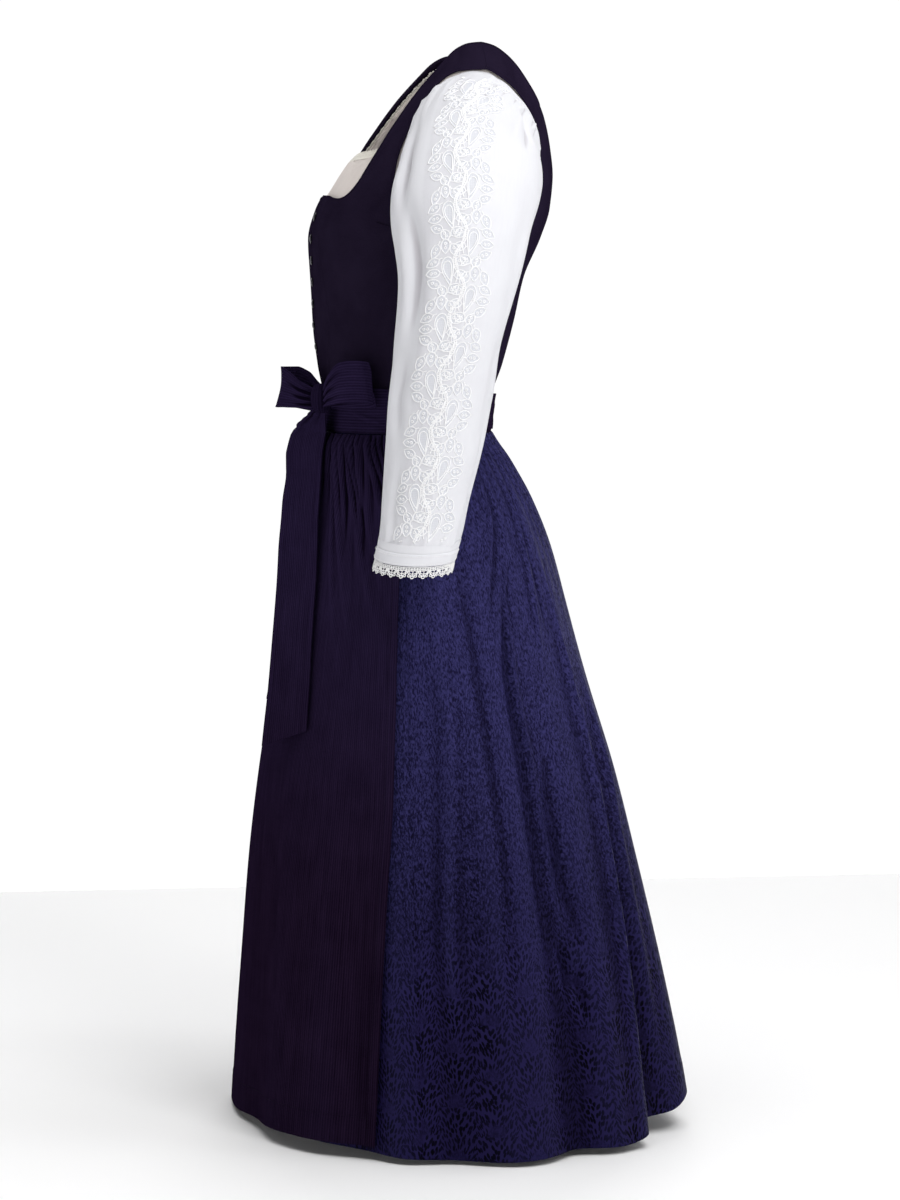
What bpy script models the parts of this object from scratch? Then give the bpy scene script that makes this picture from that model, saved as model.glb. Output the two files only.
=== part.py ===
"""Dirndl set: a dress with a sewn bodice and a gathered skirt, an apron tied in a bow, and a blouse.

The set keeps the form of a worn garment on a general figure, hollow and open at the neck, the hem
and the cuffs. Lengths are in metres. +Z is up, the wearer faces -Y and the wearer's left is +X.
The origin is midway between the shoulders, where the set is held.

Round the body, an angle of 0 is the front, 90 the wearer's left side and 180 the back.
"""

import math
from collections import namedtuple

import bmesh
import bpy
import numpy as np
from mathutils import Vector
from mathutils.bvhtree import BVHTree

# Cloth walls
BODICE_WALL = 0.0016
BLOUSE_WALL = 0.0010
SKIRT_WALL = 0.0014
APRON_WALL = 0.0012
BAND_WALL = 0.0018
RIBBON_WALL = 0.0012
LACE_WALL = 0.0010

# Clearances between one piece and the next
SEAM_GAP = 0.0003
BLOUSE_UNDER_BODICE = 0.0022
BAND_OVER_BODICE = 0.0010
TIE_OVER_BODICE = 0.0018
TIE_OVER_TIE = 0.0006
APRON_OVER_SKIRT = 0.0022

# Level of the waist seam, and of the lower edge of the apron's waistband
WAIST_SEAM = -0.4045
BAND_BOTTOM = -0.4045

# Bodice, round the body
TORSO_COLUMNS = ("height", "half_width", "side_y", "front_y", "back_y", "squareness")
TORSO = (
    (-0.001, 0.074, -0.011, -0.038, 0.014, 2.5),
    (-0.009, 0.091, -0.011, -0.050, 0.025, 2.5),
    (-0.017, 0.105, -0.011, -0.058, 0.031, 2.6),
    (-0.027, 0.121, -0.011, -0.064, 0.036, 2.7),
    (-0.039, 0.139, -0.012, -0.073, 0.041, 2.7),
    (-0.060, 0.152, -0.016, -0.089, 0.050, 2.8),
    (-0.085, 0.159, -0.023, -0.108, 0.060, 2.8),
    (-0.115, 0.163, -0.032, -0.131, 0.067, 2.7),
    (-0.145, 0.165, -0.043, -0.152, 0.071, 2.5),
    (-0.175, 0.164, -0.053, -0.169, 0.069, 2.35),
    (-0.205, 0.160, -0.059, -0.176, 0.060, 2.25),
    (-0.245, 0.153, -0.064, -0.175, 0.043, 2.2),
    (-0.290, 0.143, -0.070, -0.174, 0.033, 2.2),
    (-0.335, 0.135, -0.076, -0.169, 0.021, 2.2),
    (-0.375, 0.131, -0.079, -0.162, 0.008, 2.2),
    (-0.412, 0.133, -0.079, -0.161, 0.006, 2.2),
    (-0.440, 0.140, -0.079, -0.165, 0.012, 2.2),
)
BUST_HEIGHT = -0.215
BUST_SPREAD = 0.060
BUST_ANGLE = 32.0
BUST_ANGLE_SPREAD = 19.0
BUST_RISE = 0.007

# Skirt, round the body
SKIRT_COLUMNS = ("height", "half_width", "side_y", "front_y", "back_y", "squareness")
SKIRT = (
    (-0.4030, 0.1330, -0.079, -0.1610, 0.0070, 2.2),
    (-0.4160, 0.1400, -0.079, -0.1635, 0.0140, 2.2),
    (-0.4380, 0.1550, -0.077, -0.1670, 0.0290, 2.15),
    (-0.4700, 0.1720, -0.073, -0.1730, 0.0480, 2.1),
    (-0.5200, 0.1870, -0.067, -0.1830, 0.0695, 2.1),
    (-0.5800, 0.1990, -0.060, -0.1950, 0.0870, 2.1),
    (-0.6600, 0.2120, -0.053, -0.2100, 0.1090, 2.1),
    (-0.7500, 0.2260, -0.046, -0.2250, 0.1355, 2.1),
    (-0.8500, 0.2400, -0.038, -0.2355, 0.1585, 2.1),
    (-0.9500, 0.2530, -0.031, -0.2415, 0.1805, 2.1),
    (-1.0500, 0.2640, -0.026, -0.2475, 0.2010, 2.1),
    (-1.1250, 0.2720, -0.023, -0.2515, 0.2140, 2.1),
)
SKIRT_TOP = -0.4049
SKIRT_ROWS = (0.0, 0.022, 0.065, 0.130, 0.230, 0.390, 0.580, 0.790, 1.0)
SKIRT_COLUMN_COUNT = 112
EDGE_COLUMNS = ("angle", "height")
HEM = (
    (-180, -1.0910),
    (-158, -1.0860),
    (-140, -1.0980),
    (-118, -1.1060),
    (-90, -1.1130),
    (-60, -1.1120),
    (-15, -1.1130),
    (5, -1.1100),
    (20, -1.1060),
    (40, -1.1070),
    (62, -1.1120),
    (88, -1.1155),
    (106, -1.1130),
    (125, -1.1120),
    (134, -1.1040),
    (147, -1.0990),
    (157, -1.0840),
    (180, -1.0910),
)

# Long folds of the skirt: where each lies at the hem, how wide it is there, how far it stands out,
# the share of the skirt's length at which it starts, and how far it turns from the waist to the hem
Fold = namedtuple("Fold", "angle width depth start turn")
SKIRT_FOLDS = (
    (-8, 12, 0.0050, 0.30, 0),
    (18, 10, -0.0050, 0.35, 2),
    (36, 11, 0.0060, 0.25, 3),
    (58, 8, -0.0060, 0.35, 3),
    (70, 7, 0.0060, 0.15, 1),
    (82, 9, -0.0070, 0.10, 0),
    (97, 10, 0.0120, 0.15, -4),
    (112, 6, -0.0120, 0.12, -3),
    (123, 7, 0.0110, 0.15, -8),
    (131, 4, 0.0120, 0.08, -14),
    (140, 6, -0.0150, 0.12, -10),
    (154, 8, 0.0150, 0.10, -5),
    (169, 7, -0.0130, 0.15, -2),
    (184, 9, 0.0120, 0.12, 2),
    (200, 7, -0.0130, 0.15, 4),
    (215, 9, 0.0150, 0.10, 8),
    (230, 6, -0.0140, 0.12, 9),
    (244, 9, 0.0130, 0.15, 6),
    (260, 7, -0.0120, 0.12, 4),
    (276, 10, 0.0110, 0.18, 3),
    (297, 9, -0.0070, 0.30, 3),
    (322, 12, 0.0050, 0.30, 2),
)
GATHER_COUNT = 56
GATHER_DEPTH = 0.0034
GATHER_REACH = 0.24

# Seams of the skirt, by angle
SKIRT_SIDE_SEAM = 74.0

# Apron
APRON_TOP = -0.4049
APRON_COLUMN_COUNT = 48
APRON_EDGE_COLUMNS = ("height", "angle")
APRON_EDGE = (
    (-1.110, 61.6),
    (-1.058, 62.6),
    (-0.959, 64.4),
    (-0.860, 66.9),
    (-0.762, 69.4),
    (-0.684, 70.3),
    (-0.605, 71.2),
    (-0.537, 73.1),
    (-0.470, 75.6),
    (-0.405, 77.1),
)
APRON_HEM = (
    (-70, -1.1060),
    (-20, -1.1165),
    (0, -1.1135),
    (20, -1.1080),
    (40, -1.1045),
    (62, -1.1055),
)
APRON_FOLDS = (
    (-44, 10, 0.0040, 0.30, 0),
    (-20, 12, 0.0045, 0.35, 0),
    (6, 9, 0.0030, 0.45, 0),
    (27, 10, 0.0045, 0.30, 0),
    (47, 9, 0.0045, 0.35, 0),
)

# Edges of the bodice panels, from the waist up, as angle and height
FRONT_PRINCESS = (
    (19.0, -0.4045),
    (20.0, -0.3600),
    (23.0, -0.3250),
    (28.0, -0.2840),
    (24.0, -0.2420),
    (15.0, -0.1640),
)
FRONT_NECK = (
    (15.0, -0.1640),
    (23.0, -0.1665),
    (30.0, -0.1680),
    (34.5, -0.1660),
    (37.5, -0.1590),
    (38.6, -0.1480),
    (38.5, -0.1355),
    (38.0, -0.1160),
    (37.0, -0.0960),
    (37.0, -0.0780),
    (38.5, -0.0620),
    (42.0, -0.0480),
    (47.0, -0.0370),
    (54.0, -0.0255),
    (64.0, -0.0165),
    (76.0, -0.0115),
    (90.0, -0.0100),
)
FRONT_ARMHOLE = (
    (90.0, -0.2120),
    (79.0, -0.2060),
    (70.0, -0.1870),
    (64.5, -0.1660),
    (59.5, -0.1430),
    (55.5, -0.1190),
    (53.5, -0.0990),
    (51.5, -0.0830),
    (51.5, -0.0680),
    (54.5, -0.0565),
    (60.5, -0.0465),
    (70.0, -0.0410),
    (90.0, -0.0390),
)
NECK_FRONT_TOP = -0.1620
SHOULDER_HALF_GAP = 0.07
BACK_PRINCESS = (
    (157.0, -0.4045),
    (157.0, -0.3300),
    (155.0, -0.2500),
    (152.0, -0.1700),
    (150.5, -0.1300),
    (150.0, -0.1000),
    (150.0, -0.0650),
)
BACK_NECK = (
    (150.0, -0.0650),
    (140.0, -0.0550),
    (128.0, -0.0390),
    (115.0, -0.0235),
    (103.0, -0.0140),
    (90.0, -0.0100),
)
BACK_ARMHOLE = (
    (90.0, -0.2120),
    (108.0, -0.2040),
    (123.0, -0.1840),
    (132.0, -0.1580),
    (135.5, -0.1300),
    (134.5, -0.1065),
    (129.0, -0.0870),
    (121.0, -0.0710),
    (110.0, -0.0570),
    (98.0, -0.0460),
    (90.0, -0.0390),
)
BACK_NECK_TOP = ((150.0, -0.0650), (165.0, -0.0720), (180.0, -0.0740))
BODY_ROWS = 8
STRAP_ROWS = 12
BACK_ARM_TURN = (135.5, -0.1300)
BACK_SEAM_TURN = (150.5, -0.1300)
BACK_LOW_ROWS = 4
BACK_HIGH_ROWS = 2
BACK_NECK_ROWS = 6

# Blouse
BLOUSE_HEM = -0.300
BLOUSE_BODY_ROWS = 3
BLOUSE_ARM_ROWS = 12
BLOUSE_FRONT_NECK_ROWS = 10
BLOUSE_BACK_NECK_ROWS = 7
BLOUSE_COLUMNS = 6
BLOUSE_ARM_SHARE = 0.992
ARMHOLE_CENTRE = (92.0, -0.1250)
DEGREE_LENGTH = 0.0023
BLOUSE_NECK = (
    (0.0, -0.1240),
    (20.0, -0.1250),
    (34.0, -0.1240),
    (40.0, -0.1160),
    (42.0, -0.0980),
    (43.0, -0.0800),
    (45.5, -0.0650),
    (50.0, -0.0500),
    (56.0, -0.0390),
    (65.0, -0.0290),
    (76.0, -0.0220),
    (90.0, -0.0190),
    (104.0, -0.0260),
    (116.0, -0.0380),
    (129.0, -0.0540),
    (141.0, -0.0670),
    (152.0, -0.0780),
    (180.0, -0.0880),
)

# Sleeve, left: rings that turn from the armhole down into the arm. Each has its inner point, the
# length and the lean of its long way, and where it lies fore and aft
SleeveRing = namedtuple("SleeveRing", "inner_x inner_z length lean front_y back_y")
SLEEVE_RINGS = (
    (0.1645, -0.2070, 0.1400, 6.0, -0.1000, 0.0340),
    (0.1670, -0.2130, 0.1340, 18.0, -0.1080, 0.0370),
    (0.1690, -0.2210, 0.1260, 33.0, -0.1145, 0.0350),
    (0.1710, -0.2310, 0.1180, 48.0, -0.1160, 0.0300),
    (0.1720, -0.2430, 0.1120, 63.0, -0.1130, 0.0235),
    (0.1730, -0.2580, 0.1090, 77.0, -0.1100, 0.0155),
    (0.1745, -0.2780, 0.1085, 90.0, -0.1100, 0.0050),
    (0.1790, -0.3180, 0.1050, 92.0, -0.1140, -0.0090),
    (0.1855, -0.3650, 0.0980, 95.0, -0.1195, -0.0190),
    (0.1945, -0.4130, 0.0920, 97.0, -0.1245, -0.0300),
    (0.2060, -0.4600, 0.0850, 98.0, -0.1285, -0.0435),
    (0.2170, -0.4940, 0.0800, 98.0, -0.1320, -0.0530),
)
CUFF_RINGS = (
    (0.2173, -0.4948, 0.0800, 98.0, -0.1320, -0.0530),
    (0.2205, -0.5040, 0.0790, 98.0, -0.1340, -0.0560),
    (0.2235, -0.5140, 0.0785, 98.0, -0.1365, -0.0595),
)
CUFF_LACE_RINGS = (
    (0.2236, -0.5147, 0.0785, 98.0, -0.1365, -0.0595),
    (0.2270, -0.5290, 0.0800, 98.0, -0.1405, -0.0630),
)
SLEEVE_COLUMN_COUNT = 24
SLEEVE_BASE_SHARE = 0.985
SLEEVE_MOUTH_SHARE = 0.90
SLEEVE_MOUTH_OUT = 0.0030
CUFF_SCALLOPS = 20
SCALLOP_DEPTH = 0.0032

# Lace frill round the neck
NECK_LACE_WIDTH = 0.013
NECK_LACE_LEAN = 0.16
NECK_LACE_WAVE = 0.0022

# Waistband and ties
BAND_TOP = -0.3680
BAND_END = 77.0
KNOT_ANGLE = 25.0
BOW_TURN = 27.0
WAIST_STEP = 7.2

# Ties: where each one's top and bottom lie round the waist, and what it lies on there
TieRow = namedtuple("TieRow", "angle top bottom over")
TIE_LEFT = (
    (77.0, -0.3680, -0.4042, "bodice"),
    (176.0, -0.3670, -0.4042, "bodice"),
    (201.6, -0.3665, -0.3860, "bodice"),
    (230.4, -0.3665, -0.3860, "tie"),
    (256.0, -0.3660, -0.4030, "tie"),
    (288.0, -0.3630, -0.3990, "band"),
    (335.0, -0.3580, -0.3900, "band"),
    (380.0, -0.3560, -0.3810, "band"),
)
TIE_RIGHT = (
    (30.0, -0.3560, -0.3800, "band"),
    (40.0, -0.3560, -0.3830, "band"),
    (60.0, -0.3570, -0.3940, "band"),
    (79.0, -0.3600, -0.3980, "band"),
    (86.4, -0.3610, -0.3990, "tie"),
    (176.0, -0.3650, -0.4020, "tie"),
    (201.6, -0.3872, -0.4042, "tie"),
    (230.4, -0.3872, -0.4042, "bodice"),
    (256.0, -0.3680, -0.4042, "bodice"),
    (283.0, -0.3680, -0.4042, "bodice"),
)

# Bow: the ribbon's centre line, as distance along the bow, distance out from the waist and
# height, the ribbon's width, and the lean of that width in degrees
KNOT_OUT = 0.0170
KNOT_HEIGHT = -0.3690
KNOT_SIZE = (0.020, 0.0245, 0.026)
LoopRow = namedtuple("LoopRow", "along out height width lean")
LOOP_LEFT = (
    (0.0091, 0.0125, -0.3690, 0.0200, 0.0),
    (0.0300, 0.0108, -0.3630, 0.0340, 0.0),
    (0.0540, 0.0095, -0.3580, 0.0430, 2.0),
    (0.0730, 0.0075, -0.3560, 0.0450, 6.0),
    (0.0820, 0.0100, -0.3535, 0.0450, 12.0),
    (0.0815, 0.0170, -0.3520, 0.0440, 12.0),
    (0.0700, 0.0235, -0.3515, 0.0430, 12.0),
    (0.0490, 0.0270, -0.3530, 0.0410, 9.0),
    (0.0280, 0.0280, -0.3600, 0.0320, 4.0),
    (0.0095, 0.0220, -0.3680, 0.0200, 0.0),
)
LOOP_RIGHT = (
    (-0.0091, 0.0125, -0.3690, 0.0200, 0.0),
    (-0.0280, 0.0090, -0.3670, 0.0310, -3.0),
    (-0.0500, 0.0060, -0.3620, 0.0400, -6.0),
    (-0.0700, 0.0060, -0.3590, 0.0430, -8.0),
    (-0.0800, 0.0110, -0.3590, 0.0430, -9.0),
    (-0.0800, 0.0180, -0.3590, 0.0430, -9.0),
    (-0.0680, 0.0240, -0.3590, 0.0420, -8.0),
    (-0.0490, 0.0270, -0.3610, 0.0370, -5.0),
    (-0.0280, 0.0280, -0.3650, 0.0280, -2.0),
    (-0.0095, 0.0220, -0.3690, 0.0190, 0.0),
)
# Tails: where the ribbon's two edges lie over the apron, as angle and distance out, from the knot
# down
TailRow = namedtuple("TailRow", "height front_angle front_out back_angle back_out")
TAIL_LEFT = (
    (-0.3826, 19.5, 0.0165, 28.0, 0.0102),
    (-0.3950, 12.5, 0.0261, 27.0, 0.0089),
    (-0.4090, 6.5, 0.0309, 26.5, 0.0077),
    (-0.4250, 6.5, 0.0307, 26.5, 0.0075),
    (-0.4830, 12.5, 0.0293, 27.5, 0.0068),
    (-0.5226, 14.5, 0.0302, 30.0, 0.0064),
    (-0.5626, 17.5, 0.0286, 32.0, 0.0056),
    (-0.6080, 19.0, 0.0262, 33.5, 0.0050),
    (-0.6610, 20.5, 0.0239, 35.5, 0.0044),
    (-0.7120, 21.5, 0.0225, 36.5, 0.0038),
)
TAIL_RIGHT = (
    (-0.3826, 19.0, 0.0115, 25.5, 0.0072),
    (-0.3980, 9.0, 0.0080, 22.0, 0.0066),
    (-0.4150, 2.0, 0.0060, 18.0, 0.0060),
    (-0.4500, -4.0, 0.0055, 12.0, 0.0055),
    (-0.5200, -9.0, 0.0048, 5.5, 0.0048),
    (-0.6000, -10.5, 0.0042, 3.0, 0.0042),
    (-0.6800, -12.0, 0.0042, 0.5, 0.0042),
)
TAIL_SLANT = 0.010
LOOP_STEPS = 16
TAIL_STEPS = 12

# Buttons down the centre front
BUTTON_TOP = -0.1840
BUTTON_PITCH = 0.0222
BUTTON_COUNT = 7
BUTTON_RADIUS = 0.0046
BUTTON_THICKNESS = 0.0022
BUTTON_ANGLE = 2.4

COLOURS = {
    "bodice": (0.010, 0.007, 0.016),
    "skirt": (0.020, 0.020, 0.075),
    "apron": (0.013, 0.008, 0.022),
    "blouse": (0.86, 0.85, 0.86),
    "lace": (0.84, 0.80, 0.72),
    "button": (0.020, 0.018, 0.030),
}


class Curve:
    """Smooth curve through the rows of a table, which doesn't swing out between them."""

    def __init__(self, keys, values):
        order = np.argsort(keys)
        self.keys = np.array(keys, dtype=float)[order]
        self.values = np.array(values, dtype=float)[order]
        steps = np.diff(self.keys)
        rises = np.diff(self.values) / steps
        slopes = np.zeros(len(self.keys))
        for i in range(1, len(slopes) - 1):
            before, after = rises[i - 1], rises[i]
            if before * after > 0:
                slopes[i] = 2.0 * before * after / (before + after)
        slopes[0], slopes[-1] = rises[0], rises[-1]
        self.slopes = slopes

    def at(self, key):
        """Value of the curve at a key; past its ends it stays level."""
        key = min(max(key, self.keys[0]), self.keys[-1])
        i = min(int(np.searchsorted(self.keys, key, side="right")) - 1, len(self.keys) - 2)
        step = self.keys[i + 1] - self.keys[i]
        t = (key - self.keys[i]) / step
        return (
            (2 * t**3 - 3 * t**2 + 1) * self.values[i]
            + (t**3 - 2 * t**2 + t) * step * self.slopes[i]
            + (3 * t**2 - 2 * t**3) * self.values[i + 1]
            + (t**3 - t**2) * step * self.slopes[i + 1]
        )


def curves(table, columns):
    """One curve for each column of a table after its first, keyed by that first column."""
    keys = [row[0] for row in table]
    return {name: Curve(keys, [row[i] for row in table]) for i, name in enumerate(columns) if i}


def wrapped(angle):
    """An angle in degrees brought between -180 and 180."""
    return (angle + 180.0) % 360.0 - 180.0


class RingSurface:
    """Surface through level rings round the body, each a rounded oval."""

    STEP_ANGLE = 0.25
    STEP_HEIGHT = 0.0005

    def __init__(self, table, columns):
        self.rings = curves(table, columns)

    def relief(self, angle, height):
        """How far the surface stands out from its plain rings."""
        return 0.0

    def plain(self, angle, height):
        """Point of the plain ring at an angle and a height."""
        a = math.radians(angle)
        rings = self.rings
        power = 2.0 / rings["squareness"].at(height)
        side_y = rings["side_y"].at(height)
        across = math.copysign(abs(math.sin(a)) ** power, math.sin(a))
        along = abs(math.cos(a)) ** power
        end_y = rings["front_y"].at(height) if math.cos(a) > 0 else rings["back_y"].at(height)
        return Vector((
            rings["half_width"].at(height) * across,
            side_y + (end_y - side_y) * along,
            height,
        ))

    def outward(self, angle, height):
        """Level direction out of the plain ring."""
        back = self.plain(angle - self.STEP_ANGLE, height)
        ahead = self.plain(angle + self.STEP_ANGLE, height)
        run = ahead - back
        return Vector((-run.y, run.x, 0.0)).normalized() * -1.0

    def point(self, angle, height):
        """Point of the surface."""
        relief = self.relief(angle, height)
        base = self.plain(angle, height)
        return base + self.outward(angle, height) * relief if relief else base

    def normal(self, angle, height):
        """Direction out of the surface."""
        da, dz = self.STEP_ANGLE, self.STEP_HEIGHT
        run = self.point(angle + da, height) - self.point(angle - da, height)
        rise = self.point(angle, height + dz) - self.point(angle, height - dz)
        return run.cross(rise).normalized()

    def moved(self, angle, height, out):
        """Point of the surface moved out along its normal."""
        return self.point(angle, height) + self.normal(angle, height) * out


class Torso(RingSurface):
    """Outside of the bodice."""

    def relief(self, angle, height):
        turn = (abs(wrapped(angle)) - BUST_ANGLE) / BUST_ANGLE_SPREAD
        rise = (height - BUST_HEIGHT) / BUST_SPREAD
        return BUST_RISE * math.exp(-turn * turn - rise * rise)


def fold_relief(folds, angle, share):
    """Height of the long folds at an angle and a share of the cloth's length."""
    total = 0.0
    for row in folds:
        fold = Fold(*row)
        if share <= fold.start:
            continue
        grown = (share - fold.start) / (1.0 - fold.start)
        grown = grown * grown * (3.0 - 2.0 * grown)
        off = wrapped(angle - fold.angle + fold.turn * (1.0 - share)) / fold.width
        if abs(off) < 2.6:
            total += fold.depth * grown * math.exp(-off * off)
    return total


class Skirt(RingSurface):
    """Outside of the skirt, with its long folds and the gathers under the waist."""

    def relief(self, angle, height):
        share = (SKIRT_TOP - height) / (SKIRT_TOP + 1.115)
        share = min(max(share, 0.0), 1.0)
        total = fold_relief(SKIRT_FOLDS, angle, share)
        if share < GATHER_REACH:
            fade = 1.0 - share / GATHER_REACH
            build = min(share / 0.03, 1.0)
            wave = math.cos(math.radians(angle * GATHER_COUNT))
            total += GATHER_DEPTH * (0.35 + 0.65 * build) * fade * (0.5 + 0.5 * wave)
        return total


class Apron(Skirt):
    """Outside of the apron, which lies over the skirt."""

    def relief(self, angle, height):
        share = (APRON_TOP - height) / (APRON_TOP + 1.120)
        share = min(max(share, 0.0), 1.0)
        over = APRON_OVER_SKIRT + APRON_WALL + 0.0015 * min(share / 0.05, 1.0)
        return super().relief(angle, height) + over + fold_relief(APRON_FOLDS, angle, share)


TORSO_SURFACE = Torso(TORSO, TORSO_COLUMNS)
SKIRT_SURFACE = Skirt(SKIRT, SKIRT_COLUMNS)
APRON_SURFACE = Apron(SKIRT, SKIRT_COLUMNS)
HEM_CURVE = curves(HEM, EDGE_COLUMNS)["height"]
APRON_EDGE_CURVE = curves(APRON_EDGE, APRON_EDGE_COLUMNS)["angle"]
APRON_HEM_CURVE = curves(APRON_HEM, EDGE_COLUMNS)["height"]

# Making the solids


def solid(name, points, normals, faces, wall, colour):
    """Cloth wall: the outer points and the same points moved in by the wall, closed at the edges."""
    outer = [Vector(p) for p in points]
    inner = [p - n * wall for p, n in zip(outer, normals)]
    count = len(outer)
    edges = {}
    for face in faces:
        for i, start in enumerate(face):
            end = face[(i + 1) % len(face)]
            edges[(start, end)] = (end, start) not in edges
            if (end, start) in edges:
                edges[(end, start)] = False
    sides = [(b, a, a + count, b + count) for (a, b), free in edges.items() if free]
    skins = [tuple(f) for f in faces] + [tuple(i + count for i in reversed(f)) for f in faces]
    return mesh_object(name, outer + inner, skins + sides, colour)


def mesh_object(name, points, faces, colour):
    """Closed mesh as a scene object with a material of its own."""
    mesh = bpy.data.meshes.new(name)
    mesh.from_pydata([tuple(p) for p in points], [], faces)
    work = bmesh.new()
    work.from_mesh(mesh)
    bmesh.ops.recalc_face_normals(work, faces=work.faces)
    bmesh.ops.triangulate(work, faces=work.faces)
    if work.calc_volume(signed=True) < 0:
        bmesh.ops.reverse_faces(work, faces=work.faces)
    work.to_mesh(mesh)
    work.free()
    material = bpy.data.materials.new(name)
    material.use_nodes = True
    shader = material.node_tree.nodes["Principled BSDF"]
    shader.inputs["Base Color"].default_value = (*COLOURS[colour], 1.0)
    shader.inputs["Roughness"].default_value = 0.3 if colour == "button" else 0.85
    mesh.materials.append(material)
    thing = bpy.data.objects.new(name, mesh)
    GARMENT.objects.link(thing)
    return thing


def grid_faces(rows, columns, closed=False):
    """Faces of a grid of points held row by row; a closed grid joins its last column to its first."""
    faces = []
    for r in range(rows - 1):
        for c in range(columns if closed else columns - 1):
            d = (c + 1) % columns
            near, far = r * columns, (r + 1) * columns
            faces.append((near + c, near + d, far + d, far + c))
    return faces


def spaced(edge, count):
    """Points at even distances along an edge given as angles and heights."""
    places = [TORSO_SURFACE.point(a, z) for a, z in edge]
    run = [0.0]
    for a, b in zip(places, places[1:]):
        run.append(run[-1] + (b - a).length)
    angle = Curve(run, [p[0] for p in edge])
    height = Curve(run, [p[1] for p in edge])
    steps = [run[-1] * i / count for i in range(count + 1)]
    return [(angle.at(step), height.at(step)) for step in steps]


def torso_panel(name, first, last, columns, side=1, lift=0.0, wall=BODICE_WALL, colour="bodice"):
    """Panel between two edges of the torso with the same number of rows.

    `lift` moves the outside of the panel out from the torso. The panel keeps half a seam's gap
    from each edge. `side` is -1 for the panel's mirror image.
    """
    points, normals = [], []
    for (a0, z0), (a1, z1) in zip(first, last):
        width = (TORSO_SURFACE.point(a1, z1) - TORSO_SURFACE.point(a0, z0)).length
        gap = 0.5 * SEAM_GAP / max(width, 0.005)
        for c in range(columns + 1):
            t = gap + (1.0 - 2.0 * gap) * c / columns
            a, z = a0 + (a1 - a0) * t, z0 + (z1 - z0) * t
            normal = TORSO_SURFACE.normal(a, z)
            points.append(TORSO_SURFACE.point(a, z) + normal * lift)
            normals.append(normal)
    if side < 0:
        points = [Vector((-p.x, p.y, p.z)) for p in points]
        normals = [Vector((-n.x, n.y, n.z)) for n in normals]
    return solid(name, points, normals, grid_faces(len(first), columns + 1), wall, colour)


def part_of(edge, start, end):
    """Points of an edge between two of its rows, both included."""
    return list(edge[edge.index(start):edge.index(end) + 1])


def build_bodice():
    """Seven panels: two centre fronts, two side fronts, two side backs and a centre back."""
    waist = WAIST_SEAM + 0.5 * SEAM_GAP
    princess = spaced([(a, max(z, waist)) for a, z in FRONT_PRINCESS], BODY_ROWS)
    rise = (NECK_FRONT_TOP - waist) / BODY_ROWS
    centre = [(0.0, waist + rise * i) for i in range(BODY_ROWS + 1)]
    side_seam = spaced([(90.0, waist), (90.0, -0.300), (90.0, -0.212)], BODY_ROWS)
    neck = spaced(FRONT_NECK, STRAP_ROWS)
    armhole = spaced(FRONT_ARMHOLE, STRAP_ROWS)
    back_edge = [(a, max(z, waist)) for a, z in BACK_PRINCESS]
    low_arm = spaced(part_of(BACK_ARMHOLE, BACK_ARMHOLE[0], BACK_ARM_TURN), BACK_LOW_ROWS)
    high_part = part_of(BACK_ARMHOLE, BACK_ARM_TURN, BACK_ARMHOLE[-1])
    high_arm = spaced(high_part, BACK_HIGH_ROWS + BACK_NECK_ROWS)
    low_seam = spaced(part_of(back_edge, back_edge[0], BACK_SEAM_TURN), BODY_ROWS + BACK_LOW_ROWS)
    high_seam = spaced(part_of(back_edge, BACK_SEAM_TURN, back_edge[-1]), BACK_HIGH_ROWS)
    back_neck = spaced(BACK_NECK, BACK_NECK_ROWS)
    back_seam = low_seam[:-1] + high_seam
    for edge, turn in ((neck, -1), (armhole, -1), (back_neck, 1), (high_arm, 1)):
        edge[-1] = (90.0 + turn * SHOULDER_HALF_GAP, edge[-1][1])
    for side, word in ((1, "left"), (-1, "right")):
        torso_panel(f"bodice_front_{word}", centre, princess, 4, side)
        inner, outer = princess[:-1] + neck, side_seam[:-1] + armhole
        torso_panel(f"bodice_side_front_{word}", inner, outer, 6, side)
        inner, outer = back_seam[:-1] + back_neck, side_seam[:-1] + low_arm[:-1] + high_arm
        torso_panel(f"bodice_side_back_{word}", outer, inner, 6, side)
    build_bodice_back(back_seam, waist)


def build_bodice_back(back_seam, waist):
    """Centre back panel, between the two back seams."""
    top = Curve([a for a, _ in BACK_NECK_TOP], [z for _, z in BACK_NECK_TOP])
    points, normals, columns = [], [], 8
    for seam_angle, seam_z in back_seam:
        share = (seam_z - waist) / (back_seam[-1][1] - waist)
        for c in range(columns + 1):
            t = 2.0 * c / columns - 1.0
            angle = 180.0 + t * (180.0 - seam_angle - 0.05)
            level = top.at(BACK_NECK_TOP[0][0] + (180.0 - BACK_NECK_TOP[0][0]) * (1.0 - abs(t)))
            z = waist + (level - waist) * share
            points.append(TORSO_SURFACE.point(angle, z))
            normals.append(TORSO_SURFACE.normal(angle, z))
    faces = grid_faces(len(back_seam), columns + 1)
    solid("bodice_back", points, normals, faces, BODICE_WALL, "bodice")


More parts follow.
